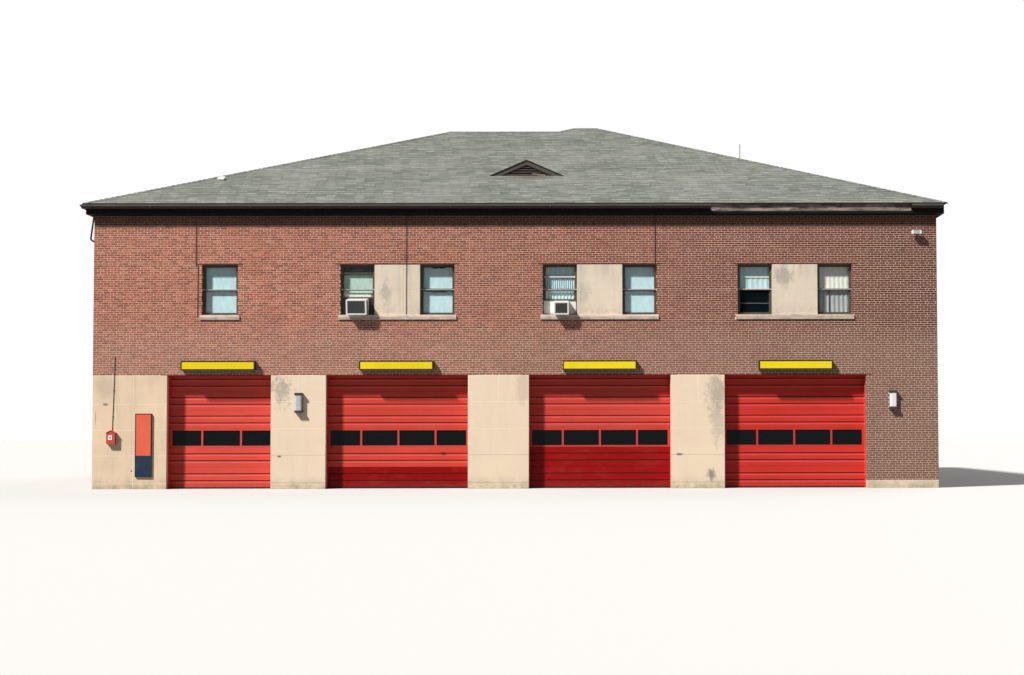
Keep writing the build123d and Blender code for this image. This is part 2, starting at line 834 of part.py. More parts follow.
def build_downpipe():
    """The rainwater pipe at the left corner: it leans out under the eaves, turns in and runs down on its straps."""
    y = front_y + pipe_from_front
    wall = -half_width
    top = soffit_z - pipe_head_gap
    near = wall - pipe_gap - pipe_radius
    bend_z = pipe_knee_z - pipe_return
    path = FilletPolyline((wall - pipe_head_out, y, top), (wall - pipe_knee_out, y, pipe_knee_z),
                          (near, y, bend_z), (near, y, pipe_foot), radius=pipe_bend)
    pipe = sweep(Plane(origin=path @ 0, z_dir=path % 0) * Circle(pipe_radius), path=path)
    half = pipe_radius + strap_thickness
    step = (bend_z - pipe_foot) / (strap_count + 0.5)
    for number in range(strap_count):
        z = pipe_foot + (number + 0.5) * step
        pipe += block(near - half, wall, y - half, y + half, z, z + strap_height)
    save("downpipe", pipe)


def build():
    os.makedirs("parts", exist_ok=True)
    build_walls()
    build_base(build_piers())
    build_floors()
    build_windows()
    build_doors()
    build_roof()
    build_eaves()
    build_gablet()
    build_wall_fittings()
    build_coolers()
    build_roof_fittings()
    build_downpipe()


build()
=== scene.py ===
import math
import random

import bmesh
import bpy
import numpy as np
from mathutils import Matrix, Vector


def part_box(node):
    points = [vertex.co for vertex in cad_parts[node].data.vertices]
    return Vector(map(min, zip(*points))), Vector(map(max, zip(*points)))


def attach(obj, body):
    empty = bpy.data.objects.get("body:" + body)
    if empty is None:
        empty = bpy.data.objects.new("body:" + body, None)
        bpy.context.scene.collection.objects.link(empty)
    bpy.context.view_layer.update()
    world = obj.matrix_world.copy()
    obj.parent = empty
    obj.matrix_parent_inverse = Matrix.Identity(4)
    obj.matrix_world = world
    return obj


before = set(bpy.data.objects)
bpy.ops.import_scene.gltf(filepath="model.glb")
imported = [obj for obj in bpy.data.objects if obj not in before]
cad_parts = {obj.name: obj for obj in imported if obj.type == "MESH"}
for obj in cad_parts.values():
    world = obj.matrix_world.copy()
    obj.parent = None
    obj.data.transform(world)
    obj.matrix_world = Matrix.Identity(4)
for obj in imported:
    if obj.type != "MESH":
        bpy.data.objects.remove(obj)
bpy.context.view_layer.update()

# A brick fire station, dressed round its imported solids. Metres, in the frame of the solids.

# Sizes that the solids give
half_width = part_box("front_wall")[1].x
front_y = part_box("front_wall")[0].y
inner_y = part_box("front_wall")[1].y
back_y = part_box("back_wall")[1].y
step_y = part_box("back_left_wall")[1].y
step_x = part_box("back_wall")[0].x
stone_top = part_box("stone_pier_1")[1].z
base_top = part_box("stone_base")[1].z
brick_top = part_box("cornice_front")[0].z
sill_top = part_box("window_sills")[1].z
window_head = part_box("window_lintels")[0].z
panel_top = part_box("window_panels")[1].z
window_rail = (sill_top + window_head) / 2

# Sizes repeated from the part's source
clear = 0.0003
door_overlap = 0.022
lining_depth = 0.2
groove_spacing = 0.212
glazed_section = 2
single_window = 1.105
pair_window = 1.058
panel_width = 1.392
window_reveal = 0.11
frame_face = 0.032
sill_height = 0.15
sill_overlap = 0.057
cooler_heights = (0.468, 0.395)
cooler_lean = math.radians(8)
cooler_reach = window_reveal + 0.275

# How far behind the wall's face the cloths and their rods hang
cloth_place = -0.215

# The roof: its edges in plan, and how far in its lower and its upper ridge lie
roof_edge_z = 8.726
roof_edge_out = 0.25
slope = math.tan(math.radians(22.7))
roof_left, roof_right, roof_front = -half_width - roof_edge_out, half_width + roof_edge_out, front_y - roof_edge_out
roof_deep, roof_shallow, roof_step = back_y + roof_edge_out, step_y + roof_edge_out, step_x - roof_edge_out
low_run, high_run = (roof_shallow - roof_front) / 2, (roof_deep - roof_front) / 2
gutter_break = (half_width - 0.811 - 6.14, half_width - 0.811)
exposure = 0.143
tab_width = 0.3048

# The eaves: the heights of the bare board's foot and of the drip edge, how far out the gutter's face is, its lengths
# and joints, and the heights where a painted shade darkens its underside
board_foot = (8.47, 8.50)
drip_height = 8.709
gutter_out = 0.344
gutter_length, first_joint, joint_height = 3.05, 1.8, 8.6325
gutter_shade_band = (8.635, 8.60)

# The small gable on the front slope
gablet_x = 0.17
gablet_half = 1.25
gablet_height = 0.54
gablet_inset = 3.355
gablet_base = roof_edge_z + slope * gablet_inset
gablet_mouth = roof_front + gablet_inset

# Brickwork: three courses to 203 mm
course_height = 0.2032 / 3
brick_module = 0.2032
mortar_joint = 0.01
brick_proud = 0.002
brick_bed = 0.012
facing = brick_proud + brick_bed
facing_middle = (brick_proud - brick_bed) / 2
thinnest_brick = 0.012
header_course = 2
courses_to_headers = 6
header_turn, stretcher_turn = 0.0916, 0.1934

# On the brickwork: a painted shadow of the eaves, partly soot, from a height up under them; and darker to the right of
# a place
eave_shadow_and_soot = (7.98, 8.04)
darker_right_from = -8.0


def bay_places():
    """The middle and the opening width of each vehicle bay."""
    boxes = [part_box("door_%d" % number) for number in range(1, 5)]
    return [((low.x + high.x) / 2, high.x - low.x - 2 * door_overlap) for low, high in boxes]


bays = bay_places()
last_door = bays[3][0] + bays[3][1] / 2


class Wall:
    """The outer face of a wall: u runs to the right seen from outside, and out is away from the wall."""

    def __init__(self, start, along, outwards):
        self.start, self.along, self.outwards = Vector(start), Vector(along), Vector(outwards)

    def at(self, u, out, z):
        return self.start + self.along * u + self.outwards * out + Vector((0, 0, z))

    def size(self, u, out, z):
        return (u, out, z) if self.along.x else (out, u, z)


walls = {
    "front": Wall((0, front_y, 0), (1, 0, 0), (0, -1, 0)),
    "right": Wall((half_width, 0, 0), (0, 1, 0), (1, 0, 0)),
    "back": Wall((0, back_y, 0), (-1, 0, 0), (0, 1, 0)),
    "back_left": Wall((0, step_y, 0), (-1, 0, 0), (0, 1, 0)),
    "left": Wall((-half_width, 0, 0), (0, -1, 0), (-1, 0, 0)),
    "back_step": Wall((step_x, 0, 0), (0, -1, 0), (-1, 0, 0)),
}


def group_half(pair):
    """Half the width of a group of windows."""
    return panel_width / 2 + pair_window if pair else single_window / 2


def side_places(start, end):
    """The middles of the three pairs on a side wall."""
    width = 2 * group_half(True)
    gap = (end - start - 3 * width) / 4
    return [start + gap + width / 2 + number * (width + gap) for number in range(3)]


def window_groups():
    """Each group of windows: its wall, its middle and whether it is a pair."""
    groups = [("front", bays[0][0], False), ("back_left", (half_width - step_x) / 2, False)]
    for middle, width in bays[1:]:
        groups += [("front", middle, True), ("back", -middle, True)]
    groups += [("right", middle, True) for middle in side_places(front_y, back_y)]
    groups += [("left", middle, True) for middle in side_places(-step_y, -front_y)]
    return groups


def windows():
    """Each window: its wall, its middle and its width."""
    found = []
    for wall, middle, pair in window_groups():
        offset = (panel_width + pair_window) / 2
        places = [(middle - offset, pair_window), (middle + offset, pair_window)] if pair else [(middle, single_window)]
        found += [(wall, *place) for place in places]
    return found


# Finishes

def add_node(tree, kind, inputs=None, **settings):
    """A node with its settings. Each input is a value, or the socket that feeds it."""
    made = tree.nodes.new(kind)
    for label, value in settings.items():
        setattr(made, label, value)
    for label, value in (inputs or {}).items():
        if isinstance(value, bpy.types.NodeSocket):
            tree.links.new(value, made.inputs[label])
        else:
            made.inputs[label].default_value = value
    return made


class Finish:
    """One finish in the making: its material, its colour so far, and ways to vary it over the piece's coordinates."""

    def __init__(self, name, colour, roughness, **shader):
        self.material = bpy.data.materials.new(name)
        self.material.use_nodes = True
        self.tree = self.material.node_tree
        self.surface = self.tree.nodes["Principled BSDF"]
        shader = {"Base_Color": (*colour, 1), "Roughness": roughness, "Specular_IOR_Level": 0.2, **shader}
        for label, value in shader.items():
            self.surface.inputs[label.replace("_", " ")].default_value = value
        self.place = self.node("ShaderNodeTexCoord").outputs["Object"]
        self.x, self.y, self.z = self.node("ShaderNodeSeparateXYZ", {0: self.place}).outputs

    def node(self, kind, inputs=None, **settings):
        return add_node(self.tree, kind, inputs, **settings)

    def noise(self, scale, detail=4.0, roughness=0.55, stretch=(1, 1, 1), shift=(0, 0, 0)):
        """Noise from 0 to 1. Scale is in waves to the metre, and stretch multiplies it along an axis."""
        place = self.node("ShaderNodeMapping", {"Vector": self.place, "Scale": stretch, "Location": shift}).outputs[0]
        return self.node("ShaderNodeTexNoise", {"Vector": place, "Scale": scale, "Detail": detail,
                                                "Roughness": roughness}).outputs[0]

    def shade(self):
        """The value that each laid brick, tab or slab got for itself."""
        return self.node("ShaderNodeAttribute", attribute_name="shade").outputs["Fac"]

    def spread(self, value, low, high, to_low=0.0, to_high=1.0, smooth=False):
        """A value from low to high, turned into one from to_low to to_high and held there."""
        kind = "SMOOTHSTEP" if smooth else "LINEAR"
        return self.node("ShaderNodeMapRange", {0: value, 1: low, 2: high, 3: to_low, 4: to_high},
                         interpolation_type=kind).outputs[0]

    def math(self, operation, first, second=0.0):
        return self.node("ShaderNodeMath", {0: first, 1: second}, operation=operation).outputs[0]

    def times(self, first, *others):
        """Values multiplied by one another."""
        for other in others:
            first = self.math("MULTIPLY", first, other)
        return first

    def away(self, value, place):
        """How far a value is from a place, on either side."""
        return self.math("ABSOLUTE", self.math("SUBTRACT", value, place))

    def ramp(self, value, *stops):
        """Colours, each at its place along a value."""
        made = self.node("ShaderNodeValToRGB", {0: value})
        while len(made.color_ramp.elements) < len(stops):
            made.color_ramp.elements.new(1.0)
        for element, (place, colour) in zip(made.color_ramp.elements, stops):
            element.position = place
            element.color = (*colour, 1)
        return made.outputs[0]

    def mix(self, amount, first, second):
        """The second colour over the first, by the amount."""
        first, second = ((*c, 1) if isinstance(c, tuple) else c for c in (first, second))
        return self.node("ShaderNodeMix", {0: amount, 6: first, 7: second}, data_type="RGBA").outputs[2]

    def colour(self, socket):
        self.body = socket
        self.tree.links.new(socket, self.surface.inputs["Base Color"])

    def over(self, amount, colour):
        """Lays a colour over the colour so far, by the amount."""
        self.colour(self.mix(amount, self.body, colour))

    def stain(self, place, reach, colour, amount, wildness=0.5):
        """Lays a soft stain round a place, its edge broken up by noise."""
        offset = self.node("ShaderNodeVectorMath", {0: self.place, 1: place}, operation="SUBTRACT").outputs[0]
        shares = tuple(1 / r for r in reach)
        scaled = self.node("ShaderNodeVectorMath", {0: offset, 1: shares}, operation="MULTIPLY").outputs[0]
        far = self.node("ShaderNodeVectorMath", {0: scaled}, operation="LENGTH").outputs["Value"]
        wild = self.spread(self.noise(7.0, 8, 0.8, (1, 1, 0.6)), 0.25, 0.75, -wildness, wildness)
        self.over(self.spread(self.math("ADD", far, wild), 1.0, 0.3, 0.0, amount, smooth=True), colour)

    def rough(self, scale, detail, low, high):
        """Roughness from low to high, by noise."""
        uneven = self.spread(self.noise(scale, detail), 0.3, 0.7, low, high)
        self.tree.links.new(uneven, self.surface.inputs["Roughness"])

    def bump(self, height, distance, strength=1.0):
        """Relief of a height in metres."""
        made = self.node("ShaderNodeBump", {"Height": height, "Distance": distance, "Strength": strength})
        before = self.surface.inputs["Normal"]
        if before.is_linked:
            self.tree.links.new(before.links[0].from_socket, made.inputs["Normal"])
        self.tree.links.new(made.outputs[0], before)


def times_colour(colour, share):
    return tuple(c * share for c in colour)


def mortar_finish():
    """Sandy mortar, pale and a little pink, which shows between the bricks, darker to the right, with a painted
    shadow of the eaves, partly soot, at its top.
    """
    mix = Finish("mortar", (0.80, 0.60, 0.46), 0.95)
    mix.colour(mix.ramp(mix.noise(180, 3), (0.3, (0.80, 0.61, 0.48)), (0.7, (0.97, 0.78, 0.64))))
    mix.over(mix.spread(mix.noise(0.9, 5), 0.45, 0.7), (0.76, 0.57, 0.45))
    # Darker towards the right
    mix.over(mix.spread(mix.x, darker_right_from, half_width, 0.0, 0.10), (0.20, 0.13, 0.10))
    # Painted shadow of the eaves, partly soot, over the top of the wall
    mix.over(mix.spread(mix.z, *eave_shadow_and_soot, 0.0, 0.65), (0.07, 0.04, 0.035))
    mix.bump(mix.noise(220, 3), 0.002, 0.6)
    return mix


def brick_finish():
    """Red brick, each one fired a little differently, weathered in patches and under the eaves, darker to the right,
    with a painted shadow of the eaves, partly soot, at its top.
    """
    mix = Finish("brick", (0.33, 0.11, 0.08), 0.9)
    mix.colour(mix.ramp(mix.shade(), (0.0, (0.20, 0.060, 0.040)), (0.10, (0.25, 0.075, 0.048)),
                        (0.5, (0.315, 0.096, 0.060)), (0.85, (0.38, 0.125, 0.078)), (1.0, (0.45, 0.175, 0.115))))
    mix.over(mix.spread(mix.noise(95, 4), 0.58, 0.74, 0.0, 0.35), (0.15, 0.045, 0.032))
    mix.over(mix.spread(mix.noise(38, 5, 0.6), 0.58, 0.76, 0.0, 0.25), (0.55, 0.28, 0.18))
    mix.over(mix.spread(mix.noise(0.55, 5, 0.6), 0.42, 0.68, 0.0, 0.30), (0.23, 0.082, 0.056))
    under_eaves = mix.spread(mix.z, 7.6, 8.4, 0.0, 0.35, smooth=True)
    streaks = mix.spread(mix.noise(1.0, 4, 0.6, (5, 5, 0.35)), 0.4, 0.7)
    mix.over(mix.times(under_eaves, streaks), (0.10, 0.06, 0.055))
    # Painted shadow of the eaves, partly soot, over the top courses
    mix.over(mix.spread(mix.z, *eave_shadow_and_soot, 0.0, 0.69), (0.045, 0.022, 0.020))
    # Darker towards the right
    mix.over(mix.spread(mix.x, darker_right_from, half_width, 0.0, 0.86), (0.078, 0.030, 0.022))
    mix.over(mix.spread(mix.z, 5.4, 4.2, 0.0, 0.30, smooth=True), (0.30, 0.19, 0.145))
    mix.rough(30, 3, 0.82, 0.98)
    mix.bump(mix.noise(120, 5, 0.65), 0.004, 0.7)
    mix.bump(mix.noise(22, 2), 0.004, 0.5)
    return mix


def cut_stone(name, roughness, light, dark, streak):
    """Mottled stone with rain streaks."""
    mix = Finish(name, light, roughness)
    mix.colour(mix.mix(mix.spread(mix.noise(1.1, 6, 0.6), 0.35, 0.7), light, dark))
    mix.over(mix.spread(mix.noise(70, 4, 0.7), 0.35, 0.75, 0.0, 0.30), times_colour(dark, 0.72))
    mix.over(mix.spread(mix.shade(), 0.0, 1.0, 0.0, 0.22), times_colour(light, 0.86))
    mix.over(mix.spread(mix.noise(1.0, 5, 0.65, (4.5, 4.5, 0.5)), 0.52, 0.78, 0.0, 0.5), streak)
    return mix


def limestone_finish(name="limestone", pointing=False):
    """Buff limestone, stained grey where water runs and dark near the ground. Its joints are pointed pale."""
    mix = cut_stone(name, 0.8, (0.80, 0.625, 0.445), (0.68, 0.52, 0.37), (0.50, 0.415, 0.33))
    mix.over(mix.spread(mix.x, -10.7, -7.4, 0.0, 0.55), (0.80, 0.68, 0.525))
    grey, dark = (0.36, 0.32, 0.26), (0.10, 0.085, 0.07)
    for x, z, width, height, colour, amount, wildness in (
            (6.13, 2.95, 0.40, 0.75, grey, 0.75, 0.7), (6.2, 2.0, 0.32, 0.9, grey, 0.5, 0.7),
            (-7.15, 3.05, 0.34, 0.55, (0.30, 0.27, 0.23), 0.65, 1.3),
            (6.0, 0.42, 0.16, 0.22, (0.15, 0.13, 0.11), 0.75, 0.7), (5.0, 1.04, 0.13, 0.05, dark, 1.0, 0.3),
            (0.2, 3.1, 0.30, 0.7, grey, 0.35, 0.5), (-12.5, 3.1, 0.45, 0.5, grey, 0.35, 0.5),
            (-12.53, 2.59, 0.14, 0.05, dark, 1.0, 0.2), (-12.83, 2.17, 0.014, 0.36, dark, 0.7, 0.15),
            (-11.72, 0.555, 0.04, 0.045, dark, 0.9, 0.2), (-7.22, 0.99, 0.09, 0.045, dark, 0.9, 0.2)):
        mix.stain((x, front_y, z), (width, 1, height), colour, amount, wildness)
    low = mix.spread(mix.z, 0.45, 0.0, 0.0, 0.75, smooth=True)
    mix.over(mix.times(low, mix.spread(mix.noise(3.2, 7, 0.75), 0.34, 0.62)), (0.27, 0.245, 0.15))
    if pointing:
        worn = mix.times(mix.spread(mix.z, 1.25, 1.2), mix.spread(mix.x, -8.2, -8.0))
        line = mix.mix(worn, (0.92, 0.84, 0.72), (0.30, 0.22, 0.15))
        mix.over(mix.spread(mix.y, front_y + 0.002, front_y + 0.001, 0.0, 0.6), line)
    mix.rough(18, 4, 0.7, 0.92)
    mix.bump(mix.noise(90, 5, 0.7), 0.003, 0.45)
    mix.bump(mix.noise(7, 3), 0.004, 0.3)
    return mix


def cast_stone_finish():
    """The paler, greyer stone of the panels, with rain stains down from their tops."""
    mix = cut_stone("cast_stone", 0.85, (0.74, 0.635, 0.505), (0.64, 0.55, 0.44), (0.44, 0.39, 0.33))
    for x, z, width, height, amount in ((8.22, 6.50, 0.36, 0.42, 0.75), (-3.98, 6.0, 0.20, 0.50, 0.6),
                                        (2.05, 5.95, 0.30, 0.45, 0.45)):
        mix.stain((x, front_y, z), (width, 1, height), (0.34, 0.315, 0.28), amount, 0.8)
    top = mix.spread(mix.z, 6.3, panel_top, 0.0, 0.55, smooth=True)
    runs = mix.spread(mix.noise(1.0, 5, 0.7, (7, 7, 0.5), (3, 1, 0)), 0.45, 0.68)
    mix.over(mix.times(top, runs), (0.36, 0.33, 0.285))
    low = mix.spread(mix.z, 5.75, sill_top, 0.0, 0.5, smooth=True)
    mix.over(mix.times(low, mix.spread(mix.noise(5, 6, 0.7), 0.4, 0.65)), (0.33, 0.30, 0.26))
    mix.rough(18, 4, 0.75, 0.95)
    mix.bump(mix.noise(110, 5, 0.7), 0.003, 0.5)
    return mix


def sill_finish():
    """The grey, weathered stone of the sills, paler on the upper part of the nose: partly paler stone, partly a painted
    highlight where light falls on it.
    """
    mix = cut_stone("sill_stone", 0.85, (0.60, 0.495, 0.41), (0.50, 0.41, 0.335), (0.34, 0.285, 0.235))
    mix.over(mix.spread(mix.noise(4.5, 6, 0.75, (0.6, 1, 2)), 0.42, 0.62, 0.0, 0.75), (0.27, 0.225, 0.19))
    # Painted highlight on the upper part of the nose, over paler stone; patchy, and weaker to the right
    nose = mix.spread(mix.z, sill_top - 0.075, sill_top - 0.055)
    patchy_lit_nose = mix.spread(mix.noise(3.5, 5, 0.7), 0.62, 0.42, 0.25, 0.95)
    mix.over(mix.times(nose, patchy_lit_nose, mix.spread(mix.x, 5.5, 7.0, 1.0, 0.45)), (0.74, 0.61, 0.51))
    mix.bump(mix.noise(90, 5, 0.7), 0.003, 0.5)
    return mix


def shingle_finish():
    """Grey green mineral shingles, tab by tab, with painted shade on the tabs' steep edges, a painted shadow line
    along each course's butts, darker seams, and faded and brownish patches.
    """
    mix = Finish("shingle", (0.29, 0.30, 0.265), 0.95)
    mix.colour(mix.ramp(mix.shade(), (0.0, (0.122, 0.132, 0.119)), (0.3, (0.177, 0.192, 0.172)),
                        (0.7, (0.219, 0.235, 0.213)), (1.0, (0.290, 0.305, 0.276))))
    normal = mix.node("ShaderNodeNewGeometry").outputs["True Normal"]
    upwards = mix.node("ShaderNodeSeparateXYZ", {0: normal}).outputs[2]
    # Painted shade on the steep edges and sides of the tabs
    mix.over(mix.spread(upwards, 0.75, 0.6, 0.0, 0.7), (0.05, 0.053, 0.046))
    # A painted shadow line along the butts of each course, broken up by noise
    rise = 2 * exposure * math.sin(math.atan(slope))
    row = mix.math("FRACT", mix.math("DIVIDE", mix.math("SUBTRACT", mix.z, roof_edge_z - 0.02), rise))
    line = mix.spread(mix.away(row, 0.5), 0.20, 0.30, 0.0, 0.85)
    broken = mix.spread(mix.noise(0.9, 6, 0.7, (0.6, 1, 4)), 0.35, 0.6, 0.25, 1.0)
    mix.over(mix.times(line, broken), (0.085, 0.09, 0.078))
    mix.over(mix.spread(mix.noise(1.0, 3, 0.7, (9, 0.8, 1.5)), 0.54, 0.68, 0.0, 0.5), (0.10, 0.107, 0.095))
    mix.over(mix.spread(mix.noise(260, 2, 0.8), 0.4, 0.66, 0.0, 0.5), (0.09, 0.096, 0.083))
    mix.over(mix.spread(mix.noise(0.35, 5, 0.62, (1, 1, 2)), 0.45, 0.68, 0.0, 0.4), (0.262, 0.265, 0.233))
    mix.over(mix.spread(mix.noise(1.6, 5, 0.7, (0.5, 1, 1), (7, 2, 5)), 0.6, 0.78, 0.0, 0.45), (0.153, 0.128, 0.102))
    mix.stain((0.25, -7.6, 10.05), (1.0, 0.4, 0.4), (0.105, 0.08, 0.06), 0.6)
    mix.bump(mix.noise(300, 2, 0.8), 0.002, 0.8)
    return mix


def painted(name, colour, roughness=0.45, wear=(0.2, 0.18, 0.15), amount=0.25, scale=6.0, stretch=(1, 1, 0.3),
            **shader):
    """Paint on metal or wood: a little uneven, with dirt in streaks and a faint orange peel."""
    mix = Finish(name, colour, roughness, **shader)
    mix.colour(mix.mix(mix.spread(mix.noise(scale / 4, 4), 0.3, 0.7), times_colour(colour, 0.88), colour))
    mix.over(mix.spread(mix.noise(scale, 6, 0.7, stretch), 0.52, 0.78, 0.0, amount), wear)
    mix.rough(scale * 2, 4, roughness * 0.8, min(1, roughness * 1.3))
    mix.bump(mix.noise(160, 2), 0.0006, 0.4)
    return mix


def glass(name, colour, alpha, specular):
    """Clear glass, more or less dark."""
    return Finish(name, colour, 0.04, Alpha=alpha, IOR=1.9, Specular_IOR_Level=specular)


def cloth_finish(name, colour):
    """Plain woven cloth, lit through a little."""
    mix = Finish(name, colour, 0.95)
    mix.colour(mix.mix(mix.spread(mix.noise(2.5, 4, 0.6, (3, 3, 1)), 0.35, 0.7), colour, times_colour(colour, 0.82)))
    mix.bump(mix.noise(900, 2), 0.0004, 0.5)
    return mix


# Making pieces

def new_object(name, data):
    """A new object in the scene."""
    made = bpy.data.objects.new(name, data)
    bpy.context.scene.collection.objects.link(made)
    return made


def plain_piece(name, corners, faces, smooth=False):
    """A new object from corners and faces."""
    mesh = bpy.data.meshes.new(name)
    mesh.from_pydata([tuple(c) for c in corners], [], faces)
    mesh.shade_smooth() if smooth else mesh.shade_flat()
    return new_object(name, mesh)


def dress(finish, *nodes):
    """Gives solids their finish."""
    for node in nodes:
        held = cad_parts[node].data.materials
        held.clear()
        held.append(finish.material)


def part_of_building(piece):
    """Makes a piece ride with the building."""
    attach(piece, "root")
    return piece


def soft_edges(piece, width, segments=1):
    """Rounds the edges of a piece."""
    edge = piece.modifiers.new("edges", "BEVEL")
    edge.width = width
    edge.segments = segments
    edge.limit_method = "ANGLE"


def laying_tree():
    """Nodes that lay a block on each point, with the size and the turn that the point holds, a little unevenly."""
    tree = bpy.data.node_groups.new("laying", "GeometryNodeTree")
    for label, kind in (("Geometry", "Geometry"), ("Unevenness", "Vector"), ("Tilt", "Float"), ("Seed", "Int"),
                        ("Finish", "Material")):
        tree.interface.new_socket(label, in_out="INPUT", socket_type="NodeSocket" + kind)
    tree.interface.new_socket("Geometry", in_out="OUTPUT", socket_type="NodeSocketGeometry")

    def make(kind, inputs=None, **settings):
        return add_node(tree, kind, inputs, **settings).outputs

    given = make("NodeGroupInput")

    def shaken(amount, seed_shift):
        """A random vector from minus the amount to the amount."""
        negative = make("ShaderNodeVectorMath", {0: amount, "Scale": -1.0}, operation="SCALE")[0]
        seed = make("ShaderNodeMath", {0: given["Seed"], 1: seed_shift})[0]
        return make("FunctionNodeRandomValue", {0: negative, 1: amount, "Seed": seed}, data_type="FLOAT_VECTOR")[0]

    def held(label):
        """What a point holds under a name."""
        return make("GeometryNodeInputNamedAttribute", {"Name": label}, data_type="FLOAT_VECTOR")["Attribute"]

    offset = shaken(given["Unevenness"], 0)
    moved = make("GeometryNodeSetPosition", {"Geometry": given["Geometry"], "Offset": offset})[0]
    tilt = make("ShaderNodeCombineXYZ", {axis: given["Tilt"] for axis in range(3)})[0]
    turned = make("ShaderNodeVectorMath", {0: held("turn"), 1: shaken(tilt, 1)})[0]
    rotation = make("FunctionNodeEulerToRotation", {0: turned})[0]
    block = make("GeometryNodeMeshCube")["Mesh"]
    laid = make("GeometryNodeInstanceOnPoints", {"Points": moved, "Instance": block, "Rotation": rotation,
                                                 "Scale": held("size")})[0]
    shade = make("FunctionNodeRandomValue", {"Seed": given["Seed"]})[1]
    kept = make("GeometryNodeStoreNamedAttribute", {"Name": "shade", "Geometry": laid, "Value": shade},
                domain="INSTANCE")[0]
    real = make("GeometryNodeRealizeInstances", {0: kept})[0]
    dressed = make("GeometryNodeSetMaterial", {"Geometry": real, "Material": given["Finish"]})[0]
    make("NodeGroupOutput", {0: dressed})
    return tree


laying = laying_tree()


def flat_map(mesh, across, up):
    """A flat map over the whole piece, for its bake."""
    places = np.zeros(len(mesh.vertices) * 3, np.float32)
    mesh.vertices.foreach_get("co", places)
    places = places.reshape(-1, 3)[:, (across, up)]
    low, span = places.min(0), np.ptp(places, axis=0)
    corners = np.zeros(len(mesh.loops), np.int32)
    mesh.loops.foreach_get("vertex_index", corners)
    layer = mesh.uv_layers.new(name="OFBake")
    layer.uv.foreach_set("vector", ((places - low) / span)[corners].astype(np.float32).ravel())


def lay(name, blocks, finish, unevenness=(0, 0, 0), tilt=0.0, seed=1, bake_axes=None):
    """Lays blocks as one piece. Each is a middle, a size and, where it isn't square to the axes, a turn."""
    middles, sizes, turns = zip(*[(*block, (0, 0, 0))[:3] for block in blocks])
    points = bpy.data.meshes.new(name + "_points")
    points.from_pydata([tuple(middle) for middle in middles], [], [])
    for label, values in (("size", sizes), ("turn", turns)):
        held = points.attributes.new(label, "FLOAT_VECTOR", "POINT")
        held.data.foreach_set("vector", np.array(values, np.float32).ravel())
    source = new_object(name + "_points", points)
    modifier = source.modifiers.new("tree", "NODES")
    modifier.node_group = laying
    given = {"Unevenness": unevenness, "Tilt": tilt, "Seed": seed, "Finish": finish.material}
    for item in laying.interface.items_tree:
        if item.in_out == "INPUT" and item.name in given:
            modifier[item.identifier] = given[item.name]
    graph = bpy.context.evaluated_depsgraph_get()
    mesh = bpy.data.meshes.new_from_object(source.evaluated_get(graph), preserve_all_data_layers=True, depsgraph=graph)
    bpy.data.objects.remove(source)
    mesh.name = name
    if bake_axes:
        flat_map(mesh, *bake_axes)
    return part_of_building(new_object(name, mesh))


def solids_of(node):
    """The lowest and the highest corner of each solid of a node."""
    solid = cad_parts[node]
    form = bmesh.new()
    form.from_mesh(solid.data)
    form.transform(solid.matrix_world)
    bmesh.ops.remove_doubles(form, verts=form.verts, dist=1e-5)
    left, found = set(form.verts), []
    while left:
        seen, edge = set(), [left.pop()]
        while edge:
            vertex = edge.pop()
            seen.add(vertex)
            for side in vertex.link_edges:
                other = side.other_vert(vertex)
                if other in left:
                    left.remove(other)
                    edge.append(other)
        places = [v.co.copy() for v in seen]
        found.append([Vector([end(p[axis] for p in places) for axis in range(3)]) for end in (min, max)])
    form.free()
    return sorted(found, key=lambda box: (round(box[0].x, 3), round(box[0].y, 3), box[0].z))


# Camera, floor and light

def street_camera():
    """The camera of the photograph, 45.5 m in front of the facade."""
    data = bpy.data.cameras.new("street_camera")
    data.sensor_width = 36
    data.lens = 52.27
    data.shift_x, data.shift_y = -0.09396, 0.03784
    data.clip_end = 400
    camera = new_object("street_camera", data)
    yaw, pitch, roll = -0.00471, 0.03802, -0.00179
    turn = Matrix.Rotation(yaw, 4, "Z") @ Matrix.Rotation(math.pi / 2 + pitch, 4, "X") @ Matrix.Rotation(roll, 4, "Z")
    across, distance, eye_height = 2.614, 45.5, 1.697
    camera.matrix_world = Matrix.Translation((across, front_y - distance, eye_height)) @ turn
    bpy.context.scene.camera = camera


def see_white(tree, plain, white):
    """White where the camera, a gloss or a clear surface looks at it, and plain for the light that it gives."""
    path = add_node(tree, "ShaderNodeLightPath").outputs
    seen = path["Is Camera Ray"]
    for label in ("Is Glossy Ray", "Is Transmission Ray"):
        seen = add_node(tree, "ShaderNodeMath", {0: seen, 1: path[label]}, operation="MAXIMUM").outputs[0]
    return add_node(tree, "ShaderNodeMixShader", {0: seen, 1: plain, 2: white}).outputs[0]


